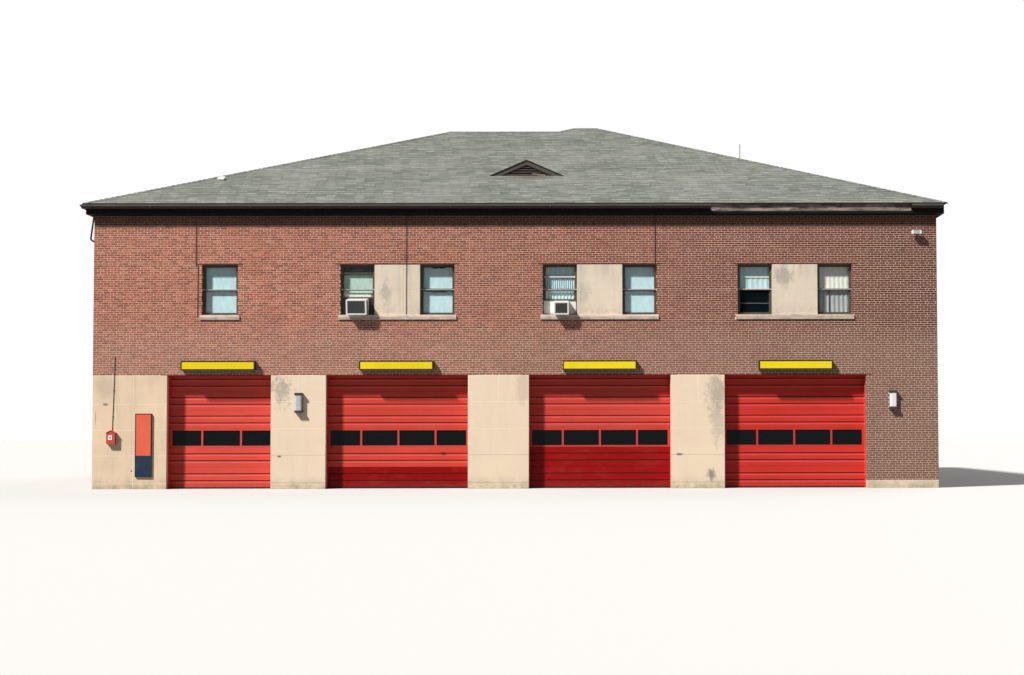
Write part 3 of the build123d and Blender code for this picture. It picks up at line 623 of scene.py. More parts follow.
def studio():
    """A pale floor, an even sky, a lamp high on the left and a weak one from behind."""
    world = bpy.data.worlds.new("studio")
    bpy.context.scene.world = world
    world.use_nodes = True
    tree = world.node_tree
    plain = tree.nodes["Background"]
    plain.inputs[0].default_value = (0.93, 0.96, 1.0, 1)
    plain.inputs[1].default_value = 0.20
    white = add_node(tree, "ShaderNodeBackground", {0: (1, 1, 1, 1)})
    tree.links.new(see_white(tree, plain.outputs[0], white.outputs[0]), tree.nodes["World Output"].inputs[0])
    for name, way, energy, angle in (("soft_key", (1.3, 1.0, -1.7), 6.4, 4.5),
                                     ("soft_fill", (-0.8, -1.0, -0.9), 0.8, 40)):
        lamp = bpy.data.lights.new(name, "SUN")
        lamp.energy = energy
        lamp.angle = math.radians(angle)
        lamp.color = (1.0, 0.97, 0.93)
        new_object(name, lamp).rotation_euler = Vector(way).to_track_quat("-Z", "Y").to_euler()
    low, high, foot = -400, 400, -0.2
    corners = [(x, y, z) for z in (foot, 0) for x, y in ((low, low), (high, low), (high, high), (low, high))]
    faces = [(3, 2, 1, 0), (4, 5, 6, 7), (0, 1, 5, 4), (1, 2, 6, 5), (2, 3, 7, 6), (3, 0, 4, 7)]
    floor = plain_piece("floor", corners, faces)
    finish = Finish("floor", (0.54, 0.54, 0.535), 0.9)
    grey = finish.node("ShaderNodeBsdfDiffuse", {"Color": (0.20, 0.20, 0.197, 1)})
    finish.tree.links.new(see_white(finish.tree, grey.outputs[0], finish.surface.outputs[0]),
                          finish.tree.nodes["Material Output"].inputs[0])
    floor.data.materials.append(finish.material)
    bpy.context.scene.view_settings.view_transform = "Standard"


# Brickwork

def course_bricks(length, swapped, course):
    """The start and end of each brick in a course that fills a length. Every sixth course has headers."""
    count = round(length / brick_module)
    module = (length + mortar_joint) / count
    if course % courses_to_headers == header_course:
        starts = []
        place = -module / 4
        while place < length:
            starts += [place, place + module]
            place += 1.5 * module
        ends = [start - mortar_joint for start in starts[1:]] + [length]
    elif (course + swapped) % 2 == 0:
        starts = [number * module for number in range(count)]
        ends = [start + module - mortar_joint for start in starts]
    else:
        starts = [0] + [(number + 0.5) * module for number in range(count)]
        ends = [start - mortar_joint for start in starts[1:]] + [length]
    bricks = [(max(0, start), min(length, end)) for start, end in zip(starts, ends)]
    shortest = 0.02
    return [(start, end) for start, end in bricks if end - start > shortest]


def beside_holes(brick, holes):
    """What a brick keeps beside the openings of its wall, and how deep each part goes."""
    parts = [brick]
    for left, right, low, high, jamb in holes:
        kept = []
        for u0, u1, z0, z1, deep in parts:
            if u1 <= left or u0 >= right or z1 <= low or z0 >= high:
                kept.append((u0, u1, z0, z1, deep))
                continue
            if z0 < low:
                kept.append((u0, u1, z0, low, deep))
            if z1 > high:
                kept.append((u0, u1, high, z1, deep))
            z0, z1 = max(z0, low), min(z1, high)
            reach = brick_proud if jamb else 0
            if u0 < left:
                kept.append((u0, left + reach, z0, z1, max(deep, jamb)))
            if u1 > right:
                kept.append((right - reach, u1, z0, z1, max(deep, jamb)))
        parts = kept
    shortest, shortest_jamb = 0.022, 0.004
    return [(u0, u1, z0, z1, deep) for u0, u1, z0, z1, deep in parts
            if u1 - u0 > (shortest_jamb if deep > brick_bed else shortest) and z1 - z0 > thinnest_brick]


def wall_holes(wall):
    """What the bricks of a wall leave free: left, right, low, high and how deep the bricks beside it show."""
    bed, lintel_end, sign_half, arm_half = 0.006, 0.15, 1.132, 0.027
    holes = []

    def leave(middle, half, low, high):
        holes.append((middle - half, middle + half, low, high, 0))

    for name, middle, pair in window_groups():
        if name == wall:
            half = group_half(pair)
            leave(middle, half + sill_overlap + bed, sill_top - sill_height - bed, sill_top + 0.001)
            leave(middle, half + lintel_end, window_head - 0.001, window_head + 0.03)
            if pair:
                leave(middle, panel_width / 2 + bed, sill_top, panel_top + bed)
    for name, middle, width in windows():
        if name == wall:
            holes.append((middle - width / 2, middle + width / 2, sill_top, window_head, window_reveal))
    if wall == "front":
        holes.append((-half_width - 0.1, last_door, 0, stone_top + bed, inner_y - front_y - lining_depth))
        low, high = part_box("sign_boxes")
        for middle, width in bays:
            leave(middle, sign_half, low.z - 0.002, high.z + 0.002)
        light_half, light_low, light_high = 0.12, 2.418, 2.982
        leave(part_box("wall_lights")[1].x - 0.118, light_half, light_low, light_high)
        low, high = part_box("floodlight")
        arm = (low.z + high.z) / 2
        leave((low.x + high.x) / 2, arm_half, arm - arm_half, arm + arm_half)
    if wall == "left":
        holes.append((-inner_y - 0.004, half_width, 0, stone_top + bed, 0))
    return holes


def lay_bricks(wall, start, end, swapped, corners):
    """The bricks of one wall from start to end. Corners says at which ends this wall's bricks turn the corner."""
    face = walls[wall]
    holes = wall_holes(wall)
    blocks = []
    first = math.floor((base_top - stone_top) / course_height)
    last = math.ceil((brick_top - stone_top) / course_height)
    for course in range(first, last):
        low = max(base_top + 0.008, stone_top + course * course_height + mortar_joint)
        high = min(brick_top, stone_top + (course + 1) * course_height)
        if high - low < thinnest_brick:
            continue
        near = [hole for hole in holes if hole[2] < high and hole[3] > low]
        bricks = course_bricks(end - start, swapped, course)
        long_turn = (course + swapped) % 2 and course % courses_to_headers != header_course
        turn = stretcher_turn if long_turn else header_turn
        for number, (u0, u1) in enumerate(bricks):
            deep, covered = brick_bed, False
            for at_end, turns in ((number == 0, corners[0]), (number == len(bricks) - 1, corners[1])):
                if at_end:
                    deep, covered = (turn if turns else brick_bed), covered or (swapped and not turns)
            if covered:
                continue
            for a, b, c, d, inwards in beside_holes((start + u0, start + u1, low, high, deep), near):
                if a == start and corners[0]:
                    a -= brick_proud
                if b == end and corners[1]:
                    b += brick_proud
                middle = face.at((a + b) / 2, (brick_proud - inwards) / 2, (c + d) / 2)
                blocks.append((middle, face.size(b - a, brick_proud + inwards, d - c)))
    return blocks


def brickwork():
    """The bricks of every wall, a piece a wall, over solids that show as their mortar."""
    dress(mortar_finish(), "front_wall", "left_wall", "right_wall", "back_wall", "back_left_wall", "back_step_wall",
          "brick_pier")
    finish = brick_finish()
    spans = {
        "front": (-half_width, half_width, 0, (True, True)),
        "right": (front_y, back_y, 1, (False, False)),
        "back": (-half_width, -step_x, 0, (True, True)),
        "left": (-step_y, -front_y, 1, (False, False)),
        "back_left": (-step_x + brick_proud, half_width, 0, (False, True)),
        "back_step": (-back_y, -step_y - brick_proud, 1, (False, False)),
    }
    for seed, (wall, span) in enumerate(spans.items()):
        face = walls[wall]
        loose = face.size(0.0006, 0.0008, 0.0004)
        across = 0 if face.along.x else 1
        lay(wall + "_bricks", lay_bricks(wall, *span), finish, loose, 0.003, seed + 1, (across, 2))


# Stone

def pier_slabs():
    """The facing slabs of the stone piers, in courses over a low base, with thin joints."""
    face = walls["front"]
    blocks = []
    edges = [-half_width] + [middle + side * width / 2 for middle, width in bays for side in (-1, 1)]
    gap = 0.006
    for number in range(4):
        left, right = edges[2 * number], edges[2 * number + 1]
        joints = [0.0, 0.19, 1.03, 1.85, 2.67, stone_top] if number else [0.0, 0.17, 1.02, 1.81, 2.60, stone_top]
        split = (left + right) / 2 + (0.107 if number == 0 else 0)
        for course, (low, high) in enumerate(zip(joints, joints[1:])):
            for a, b in ((left, split), (split, right)) if number == 0 or course == 4 else ((left, right),):
                middle = face.at((a + b) / 2, facing_middle, (low + high) / 2)
                blocks.append((middle, face.size(b - a - 2 * gap, facing, high - low - 2 * gap)))
    return blocks


def base_slabs():
    """The low stone course round the other sides, in lengths of about 1.2 m."""
    blocks = []
    spans = [("front", last_door, half_width), ("right", front_y, back_y), ("back", -half_width, -step_x),
             ("back_left", -step_x, half_width), ("left", -step_y, -inner_y), ("back_step", -back_y, -step_y)]
    gap = 0.003
    for wall, start, end in spans:
        face = walls[wall]
        count = max(1, round((end - start) / 1.2))
        length = (end - start) / count
        for number in range(count):
            middle = face.at(start + (number + 0.5) * length, facing_middle, base_top / 2)
            blocks.append((middle, face.size(length - 2 * gap, facing, base_top - gap)))
    return blocks


def panel_slabs():
    """Two slabs, one over the other, on each panel between a pair of windows."""
    blocks = []
    split = (sill_top + panel_top) / 2
    for wall, middle, pair in window_groups():
        if pair:
            face = walls[wall]
            for low, high in ((sill_top, split), (split, panel_top)):
                place = face.at(middle, facing_middle, (low + high) / 2)
                blocks.append((place, face.size(panel_width, facing, high - low - 0.005)))
    return blocks


def stonework():
    """Facing slabs, panels and base, over the solids, which show as their joints."""
    stone, pointed, cast = limestone_finish(), limestone_finish("pointed_stone", True), cast_stone_finish()
    for seed, name, blocks, finish in ((11, "pier_slabs", pier_slabs(), stone), (12, "base_slabs", base_slabs(), stone),
                                       (13, "panel_slabs", panel_slabs(), cast)):
        soft_edges(lay(name, blocks, finish, seed=seed), 0.0015)
    dress(pointed, "stone_pier_1", "stone_pier_2", "stone_pier_3", "stone_pier_4", "stone_base")
    dress(sill_finish(), "window_sills")
    dress(cast, "window_panels")


# Roof

# Each slope: the corner its courses start from, along its eave, up its slope in plan, how far in it reaches, and
# where a course at a distance in starts and ends
roof_sides = {
    "front": ((0, roof_front), (1, 0), (0, 1), high_run,
              lambda d: ((roof_left + d) if d < low_run else (roof_step + d), roof_right - d)),
    "right": ((roof_right, 0), (0, 1), (-1, 0), high_run, lambda d: (roof_front + d, roof_deep - d)),
    "back": ((0, roof_deep), (-1, 0), (0, -1), high_run, lambda d: (-roof_right + d, -roof_step - d)),
    "step": ((roof_step, 0), (0, -1), (1, 0), high_run,
             lambda d: (-roof_deep + d, min(-roof_shallow + d, -roof_front - d))),
    "back_left": ((0, roof_shallow), (-1, 0), (0, -1), low_run, lambda d: (-roof_step - d, -roof_left - d)),
    "left": ((roof_left, 0), (0, -1), (1, 0), low_run, lambda d: (-roof_shallow + d, -roof_front - d)),
}


def axes_turn(x, y, z, extra=0.0):
    """The turn that brings a block's own axes to these, and then by an angle about its length."""
    return tuple((Matrix((x, y, z)).transposed() @ Matrix.Rotation(extra, 3, "X")).to_euler())


def roof_tabs(side, rng):
    """The shingle tabs of one slope, each with its lower edge raised a little."""
    corner, along, up, reach, extent = roof_sides[side]
    plan = exposure * math.cos(math.atan(slope))
    thickness, lap, lift, gap, tilt, shortest = 0.009, 0.03, 0.007, 0.006, -0.028, 0.03
    x_axis, y_axis = Vector((*along, 0)), Vector((*up, slope)).normalized()
    turn = axes_turn(x_axis, y_axis, x_axis.cross(y_axis), tilt)
    blocks = []
    for course in range(int(reach / plan) + 1):
        near, far = course * plan, min(reach, (course + 1) * plan)
        if far - near < 0.3 * plan:
            continue
        start, end = extent((near + far) / 2)
        place = start - ((course % 2) * 0.5 + 0.13 * (course % 3)) * tab_width
        length = (exposure + lap) * (far - near) / plan + 0.004 * (course == 0)
        while place < end:
            a, b = max(place, start), min(place + tab_width - gap, end)
            place += tab_width
            if b - a < shortest:
                continue
            lower = near - 0.008 if course == 0 else near
            if course == 0 and side == "front" and gutter_break[0] < a < gutter_break[1]:
                lower -= rng.uniform(0, 0.03)
            inwards = lower + (far - near + lap * 0.92) / 2
            x, y = (corner[axis] + along[axis] * (a + b) / 2 + up[axis] * inwards for axis in (0, 1))
            blocks.append(((x, y, roof_edge_z + slope * inwards + lift), (b - a, length, thickness), turn))
    return blocks


def cap_blocks(start, end, normals):
    """Caps along a hip or ridge, two blocks a cap, each lying on its own slope."""
    blocks = []
    aside, lift, lap, width, thickness, tilt = 0.07, 0.017, 0.03, 0.15, 0.007, 0.03
    length = (end - start).length
    along = (end - start) / length
    count = max(1, round(length / exposure))
    for number in range(count):
        spot = start + along * ((number + 0.5) * length / count)
        for normal in normals:
            across = normal.cross(along).normalized()
            if across.z > 0 or (across.z == 0 and (normal.cross(along)).dot(Vector((0, 1, 0))) * normal.y < 0):
                across = -across
            x = (along - normal * tilt).normalized()
            y = normal.cross(x).normalized()
            middle = spot + across * aside + normal * lift
            blocks.append((middle, (length / count + lap, width, thickness), axes_turn(x, y, x.cross(y))))
    return blocks


def roof_caps():
    """The caps over the hips and ridges."""
    normal = {side: Vector((-up[0] * slope, -up[1] * slope, 1)).normalized()
              for side, (corner, along, up, reach, extent) in roof_sides.items()}

    def place(x, y, d):
        return Vector((x, y, roof_edge_z + slope * d))

    left_peak = place(roof_left + low_run, roof_front + low_run, low_run)
    step_foot = place(roof_step + low_run, roof_front + low_run, low_run)
    step_peak = place(roof_step + high_run, roof_front + high_run, high_run)
    hips = ((roof_left, roof_front, 1, 1, low_run, "front", "left"),
            (roof_right, roof_front, -1, 1, high_run, "front", "right"),
            (roof_right, roof_deep, -1, -1, high_run, "back", "right"),
            (roof_step, roof_deep, 1, -1, high_run, "step", "back"),
            (roof_left, roof_shallow, 1, -1, low_run, "left", "back_left"))
    lines = [(place(x, y, 0), place(x + a * run, y + b * run, run), one, other) for x, y, a, b, run, one, other in hips]
    lines += [
        (left_peak, step_foot, "front", "back_left"),
        (step_foot, step_peak, "front", "step"),
        (place(roof_step + high_run, 0, high_run), place(roof_right - high_run, 0, high_run), "front", "back"),
    ]
    return [block for start, end, one, other in lines for block in cap_blocks(start, end, (normal[one], normal[other]))]


def hood_tabs():
    """The shingle tabs of the gablet's two small slopes, out to where they meet the front slope."""
    rise = gablet_height / gablet_half
    row, tab, mouth = exposure * 0.7, tab_width * 0.66, gablet_mouth - 0.012
    plan = row / math.sqrt(1 + rise * rise)
    blocks = []
    for side in (-1, 1):
        x_axis = Vector((0, -side, 0))
        y_axis = Vector((-side, 0, rise)).normalized()
        z_axis = x_axis.cross(y_axis)
        for course in range(int(gablet_half / plan)):
            away = gablet_half - (course + 0.5) * plan
            height = gablet_base + gablet_height - rise * away
            meet = roof_front + (height - roof_edge_z) / slope
            place = mouth - (course % 2) * 0.1
            while place < meet:
                a, b = max(place, mouth), min(place + tab, meet + 0.05)
                place += tab
                if b - a > 0.03:
                    middle = Vector((gablet_x + side * away, (a + b) / 2, height)) + z_axis * 0.006
                    size = (b - a - 0.005, row + 0.02, 0.006)
                    blocks.append((middle, size, axes_turn(x_axis, y_axis, z_axis)))
    return blocks


def gablet():
    """The small gable's slats with their near-black backing, a painted shade of the space behind them, and one bent
    end, and black strips along its edges, the inner ones a painted shadow under the trim.
    """
    half, foot, top = gablet_half - 0.13, gablet_base + 0.035, gablet_base + gablet_height - 0.062
    outline = ((gablet_x - half, foot), (gablet_x + half, foot), (gablet_x, top))
    # A near-black sheet behind the slats, standing for the shade behind them
    corners = [(x, gablet_mouth + y, z) for y in (0.064, 0.070) for x, z in outline]
    faces = [(0, 1, 2), (5, 4, 3), (0, 3, 4, 1), (1, 4, 5, 2), (2, 5, 3, 0)]
    screen = part_of_building(plain_piece("gablet_screen", corners, faces))
    screen.data.materials.append(Finish("screen_shade_black", (0.012, 0.011, 0.010), 0.9).material)
    bent = [((gablet_x + 0.40, gablet_mouth - 0.004, gablet_base + 0.05), (0.42, 0.02, 0.05), (0.3, 0.10, 0.05))]
    lay("bent_slat", bent, painted("bare_slat", (0.36, 0.30, 0.24), 0.7), seed=41)
    dress(painted("louvre_brown", (0.085, 0.072, 0.066), 0.6, (0.04, 0.034, 0.031), 0.5), "gablet_louvre")
    lean = math.atan2(gablet_height, gablet_half)
    edges = []
    for side in (-1, 1):
        down = Vector((side * math.cos(lean), 0, -math.sin(lean)))
        # The outer strip is the black roof edge; the inner one is a painted shadow under the trim
        for drop, length, y, depth in ((0.010, 1.372, -0.009, 0.017), (0.153, 0.87, -0.003, 0.0054)):
            peak = Vector((gablet_x, gablet_mouth + y, gablet_base + gablet_height - drop / math.cos(lean)))
            edges.append((peak + down * length / 2, (length, depth, 0.036), (0, side * lean, 0)))
    lay("hood_edges", edges, painted("hood_edge_shadow_black", (0.012, 0.011, 0.011), 0.7), seed=42)


def roofing():
    """Shingle tabs on every slope, over the solid roof."""
    finish = shingle_finish()
    under = painted("shingle_shade", (0.045, 0.048, 0.042), 0.95, (0.03, 0.03, 0.028), 0.3)
    rng = random.Random(5)
    lay("roof_caps", roof_caps(), finish, (0.001, 0.001, 0.0005), 0.004, 31)
    lay("hood_shingles", hood_tabs(), finish, (0.0008, 0.0008, 0.0003), 0.004, 32)
    gablet()
    for seed, side in enumerate(roof_sides):
        lay(side + "_shingles", roof_tabs(side, rng), finish, (0.001, 0.001, 0.0006), 0.006, 21 + seed,
            (0, 1))
        dress(under, "roof_" + side)
    dress(finish, "gablet_hood")


# Windows

def window_dressing():
    """Frames, glass and steel of the windows. The frames carry a painted shadow under the meeting rail and painted
    highlights on rails; the strips over the lintels carry a painted shadow line.
    """
    bronze = painted("window_bronze", (0.082, 0.068, 0.046), 0.5, (0.13, 0.105, 0.075), 0.3)
    # Painted shadow under the meeting rail
    under_rail = bronze.math("SUBTRACT", bronze.z, window_rail - 0.018)
    shadow = bronze.times(bronze.spread(under_rail, 0.024, 0.018), bronze.spread(under_rail, -0.03, -0.024))
    bronze.over(shadow, (0.025, 0.022, 0.018))
    # A pale band on the meeting rail: partly its paler metal, partly a painted highlight where it catches the light
    bronze.over(bronze.spread(bronze.away(bronze.z, window_rail + 0.012), 0.018, 0.012, 0.0, 0.85), (0.42, 0.42, 0.39))
    fourth = sorted(u for wall, u, width in windows() if wall == "front")[3]
    # A pale band for the top rail of the fourth window's lifted sash, as a painted highlight of its lit face
    lifted_rail_highlight = bronze.spread(bronze.away(bronze.z, 6.492), 0.030, 0.026)
    bronze.over(bronze.times(lifted_rail_highlight, bronze.spread(bronze.away(bronze.x, fourth), 0.47, 0.46)), (0.76, 0.78, 0.76))
    dress(bronze, "window_frames")
    dress(glass("window_glass", (0.02, 0.07, 0.10), 0.045, 0.06), "window_panes")
    steel = painted("lintel_steel", (0.085, 0.045, 0.035), 0.8, (0.16, 0.07, 0.035), 0.6)
    dress(steel, "window_lintels", "door_lintels")
    # Rust-red strips along the lintels, drawn deeper than the steel's edge to take in the shadow line along it: rust
    # and painted shadow
    toes = []
    for wall, u, pair in window_groups():
        face = walls[wall]
        toes.append((face.at(u, 0.001, window_head + 0.014), face.size(2 * group_half(pair) + 0.3, 0.008, 0.034)))
    rust = painted("lintel_toe_rust_shadow", (0.10, 0.03, 0.022), 0.85, (0.16, 0.06, 0.035), 0.5)
    lay("lintel_toes", toes, rust, seed=55)


def hang(name, wall, u, width, top, foot, finish, rods, folds=0, depth=0.0, sag=0.0):
    """A cloth that hangs in a window. Folds run down it, and its top may sag between its ends."""
    face, thickness = walls[wall], 0.001
    across = folds * 8 + 1 if folds else (17 if sag else 2)
    down = 10 if folds or sag else 2
    corners, faces = [], []
    for row in range(down):
        share = row / (down - 1)
        for column in range(across):
            part = column / (across - 1)
            drift = 0.5 * math.sin(2.1 * share + 4 * part) * share
            wave = depth * (0.6 + 0.4 * share) * math.sin(2 * math.pi * folds * part + drift)
            drop = sag * (1 - share) * (math.sin(math.pi * part) + 0.25 * math.sin(7 * math.pi * part))
            corners.append(face.at(u + (part - 0.5) * width, cloth_place + wave, top - drop - share * (top - foot)))
    back, last = len(corners), (down - 1) * across
    for row in range(down - 1):
        start = row * across
        for first in range(start, start + across - 1):
            faces.append((first, first + across, first + across + 1, first + 1))
            faces.append(tuple(back + corner for corner in (first, first + 1, first + across + 1, first + across)))
        end = start + across - 1
        faces.append((start + across, start, back + start, back + start + across))
        faces.append((end, end + across, back + end + across, back + end))
    for first in range(across - 1):
        faces.append((first, first + 1, back + first + 1, back + first))
        faces.append((last + first + 1, last + first, back + last + first, back + last + first + 1))
    piece = plain_piece(name, corners + [corner - face.outwards * thickness for corner in corners], faces, smooth=True)
    piece.data.set_sharp_from_angle(angle=0.9)
    piece.data.materials.append(finish.material)
    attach(piece, "root")


def window_cloths():
    """The shades and curtains of every window, the rods that carry them, and the bars and boards beside them."""
    pale = cloth_finish("shade_cloth", (0.60, 0.85, 0.90))
    sheer = cloth_finish("curtain_cloth", (0.60, 0.82, 0.85))
    grey = cloth_finish("grey_curtain", (0.42, 0.47, 0.46))
    green = cloth_finish("green_shade", (0.60, 0.84, 0.70))
    cream = cloth_finish("cream_curtain", (0.86, 0.90, 0.80))
    head, foot, rail, low_head = window_head - 0.05, sill_top + 0.04, window_rail, window_head - 0.24
    front = sorted((u, width) for wall, u, width in windows() if wall == "front")
    inside = [(u + 0.024, width - 0.122) for u, width in front]

    def rod(wall, u, width, z):
        face = walls[wall]
        return face.at(u, cloth_place, z), face.size(width - 2 * frame_face - 0.001, 0.02, 0.022)

    def bar(u, width, z, height, out=-0.198, depth=0.005):
        return walls["front"].at(u, out, z), (width, depth, height)

    rods = [rod("front", u, width, low_head if number == 1 else head) for number, (u, width) in enumerate(front)]
    rods += [rod("front", *front[number], rail - 0.02) for number in (2, 3, 6)]
    second, sixth = front[1][0], front[5]
    # The sixth window's bar at 6.49 stands for the top rail of its lifted sash, white as a painted highlight of its lit
    # face
    bars = [bar(second, 0.80, 5.925, 0.13), bar(*inside[5], 6.49, 0.045), bar(*inside[3], head, 0.045),
            bar(*inside[4], rail - 0.065, 0.03), bar(*inside[5], rail + 0.03, 0.04), bar(*inside[3], rail - 0.01, 0.02)]
    stick = [bar(front[6][0] - 0.14, 0.025, (foot + rail) / 2, rail - foot)]
    dim = [bar(second + 0.02, 0.26, head - 0.10, 0.05, -0.204),
           bar(sixth[0], sixth[1] - 0.076, sill_top + 0.36, 0.022, -0.204)]
    slate = [bar(*inside[1], head - 0.085, 0.17, cloth_place, 0.008)]
    white = painted("rod_white", (0.78, 0.78, 0.74), 0.5)
    for name, blocks, finish, slot, seed in (
            ("dim_bars", dim, painted("bar_dim", (0.15, 0.135, 0.13), 0.6), "fitting_white", 56),
            ("slate_board", slate, painted("slate_blue", (0.07, 0.105, 0.125), 0.6), "fitting_white", 57),
            ("curtain_rods", rods, white, "fitting_white", 51),
            ("shade_bars", bars, painted("bar_white", (0.82, 0.82, 0.78), 0.5), "fitting_white", 52),
            ("window_stick", stick, painted("stick_dark", (0.05, 0.045, 0.04), 0.6), "window_bronze", 53)):
        lay(name, blocks, finish, seed=seed)
    for name, number, top, low, finish, folds, depth, sag in (
            ("shade_front_1", 0, head, foot, pale, 0, 0, 0),
            ("shade_front_2", 1, low_head, sill_top + 0.54, green, 0, 0, 0),
            ("curtain_front_3", 2, head, rail + 0.05, pale, 0, 0, 0.05),
            ("curtain_front_3_low", 2, rail - 0.03, foot, pale, 0, 0, 0.035),
            ("curtain_front_4", 3, head, rail + 0.04, sheer, 14, 0.012, 0),
            ("curtain_front_4_low", 3, rail - 0.03, sill_top + 0.42, sheer, 9, 0.012, 0),
            ("shade_front_5", 4, head, foot, pale, 0, 0, 0),
            ("curtain_front_6", 5, head, rail + 0.04, sheer, 6, 0.006, 0),
            ("curtain_front_7", 6, head, rail + 0.04, cream, 7, 0.006, 0),
            ("curtain_front_7_low", 6, rail - 0.03, foot, grey, 7, 0.012, 0)):
        hang(name, "front", *inside[number], top, low, finish, "curtain_rods", folds, depth, sag)
    others = [window for window in windows() if window[0] != "front"]
    lay("shade_rollers", [rod(*window, head) for window in others], white, seed=54)
    for number, (wall, u, width) in enumerate(others):
        hang("shade_%s_%d" % (wall, number + 1), wall, u, width - 0.076, head, foot, pale, "shade_rollers")


# Doors

def lip_highlight_places(tall):
    """Where the painted highlight on the lip under each groove of a ribbed door section starts, peaks and ends, as
    shares of a height.
    """
    sections = sorted(((low.z + high.z) / 2 for low, high in solids_of("door_1")))
    grooves = [middle + side * groove_spacing / 2 for number, middle in enumerate(sections) if number != glazed_section
               for side in (-1, 1)]
    return [((groove - drop) / tall, (value, value, value)) for groove in grooves
            for drop, value in ((0.078, 0.0), (0.048, 1.0), (0.022, 0.0))]


def enamel(name, bright, low_colour=None, edge=0.0, dents=()):
    """Red enamel, faded unevenly, with a painted highlight on the lip under each groove and painted shade in the
    recessed grooves. Older panels below an edge may have another red."""
    mix = Finish(name, bright, 0.42, Specular_IOR_Level=0.12)
    faded = tuple(c * 1.12 + 0.004 for c in bright)
    mix.colour(mix.mix(mix.spread(mix.noise(0.8, 5, 0.6, (0.6, 1, 1.4)), 0.4, 0.68), bright, faded))
    tall = 4.0
    # Painted highlight on the lip under each groove, where light catches it
    lip_highlights = mix.ramp(mix.math("DIVIDE", mix.z, tall), *lip_highlight_places(tall))
    mix.over(mix.times(lip_highlights, 0.8), tuple(c * 1.38 + 0.055 for c in bright))
    if low_colour:
        mix.over(mix.spread(mix.z, edge, edge - 0.004), low_colour)
    mix.over(mix.spread(mix.noise(3.0, 6, 0.7, (0.4, 1, 1)), 0.5, 0.75, 0.0, 0.3), (0.42, 0.055, 0.042))
    # Painted shade in the recessed faces of the grooves
    groove_shade = mix.times(mix.spread(mix.y, inner_y + 0.002, inner_y + 0.009),
                     mix.spread(mix.y, inner_y + 0.05, inner_y + 0.045))
    mix.over(groove_shade, (0.10, 0.008, 0.007))
    foot = mix.spread(mix.z, 0.35, 0.0, 0.0, 0.4, smooth=True)
    mix.over(mix.times(foot, mix.spread(mix.noise(8, 5, 0.7), 0.35, 0.65)), (0.13, 0.06, 0.045))
    for x, z, width, height in dents:
        mix.stain((x, inner_y, z), (width, 1, height), (0.05, 0.012, 0.010), 0.85, 0.4)
    mix.rough(4, 4, 0.34, 0.52)
    mix.bump(mix.noise(1.4, 2, 0.5, (0.5, 1, 2)), 0.006, 0.5)
    return mix


def doors():
    """Paint, glass and gaskets of the vehicle doors."""
    dress(enamel("door_red_1", (0.59, 0.067, 0.048), dents=[(-7.9, 0.85, 0.12, 0.02)]), "door_1")
    dress(enamel("door_red_2", (0.54, 0.053, 0.037), (0.232, 0.002, 0.002), 0.66, [(-2.24, 1.07, 0.13, 0.07)]),
          "door_2")
    dress(enamel("door_red_3", (0.51, 0.051, 0.037), (0.262, 0.004, 0.004), 1.27), "door_3")
    dress(enamel("door_red_4", (0.50, 0.031, 0.022)), "door_4")
    dress(enamel("lining_red", (0.55, 0.045, 0.034)), "door_linings")
    dress(glass("door_glass", (0.003, 0.004, 0.005), 0.93, 0.04), "door_panes")
    rubber = Finish("rubber", (0.012, 0.012, 0.012), 0.7)
    dress(rubber, "door_seals")
    wide, deep = 0.009, 0.012
    gaskets, y = [], inner_y + clear + deep / 2 - 0.003
    for low, high in solids_of("door_panes"):
        x, z = (low.x + high.x) / 2, (low.z + high.z) / 2
        width, height = high.x - low.x + 2 * wide, high.z - low.z + 2 * wide
        for sign in (-1, 1):
            gaskets.append(((x, y, z + sign * (height - wide) / 2), (width, deep, wide)))
            gaskets.append(((x + sign * (width - wide) / 2, y, z), (wide, deep, height - 2 * wide)))
    lay("lite_gaskets", gaskets, rubber, seed=61)


# Fittings

def signs():
    """Bare yellow faces in black boxes over the doors."""
    dress(painted("sign_case", (0.02, 0.018, 0.016), 0.5), "sign_boxes")
    yellow = painted("sign_yellow", (0.82, 0.64, 0.014), 0.3, (0.55, 0.40, 0.03), 0.3, 2.0, Specular_IOR_Level=0.1)
    edge, recess = 0.037, 0.012
    faces = []
    for low, high in solids_of("sign_boxes"):
        middle = (low + high) / 2
        faces.append(((middle.x, low.y + recess - 0.0045, middle.z),
                      (high.x - low.x - 2 * edge, 0.008, high.z - low.z - 2 * edge)))
    soft_edges(lay("sign_faces", faces, yellow, seed=71), 0.002)


def lights():
    """Cases and ribbed lenses of the wall lights, the right one paler, and the floodlight."""
    dress(painted("light_bronze", (0.045, 0.042, 0.038), 0.45), "wall_lights")
    lens = Finish("light_lens", (0.47, 0.48, 0.51), 0.25)
    lens.bump(lens.math("SINE", lens.times(lens.x, 2 * math.pi / 0.012)), 0.0012, 0.8)
    lens.colour(lens.mix(lens.spread(lens.noise(5, 4), 0.4, 0.7), (0.50, 0.51, 0.54), (0.38, 0.39, 0.40)))
    # The right lens is paler
    lens.over(lens.spread(lens.x, 0.0, 5.0), (0.78, 0.74, 0.75))
    dress(lens, "light_lenses")
    flood = painted("floodlight", (0.42, 0.45, 0.40), 0.4)
    low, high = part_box("floodlight")
    flood.over(flood.spread(flood.away(flood.x, (low.x + high.x) / 2), 0.10, 0.104), (0.80, 0.80, 0.77))
    dress(flood, "floodlight")


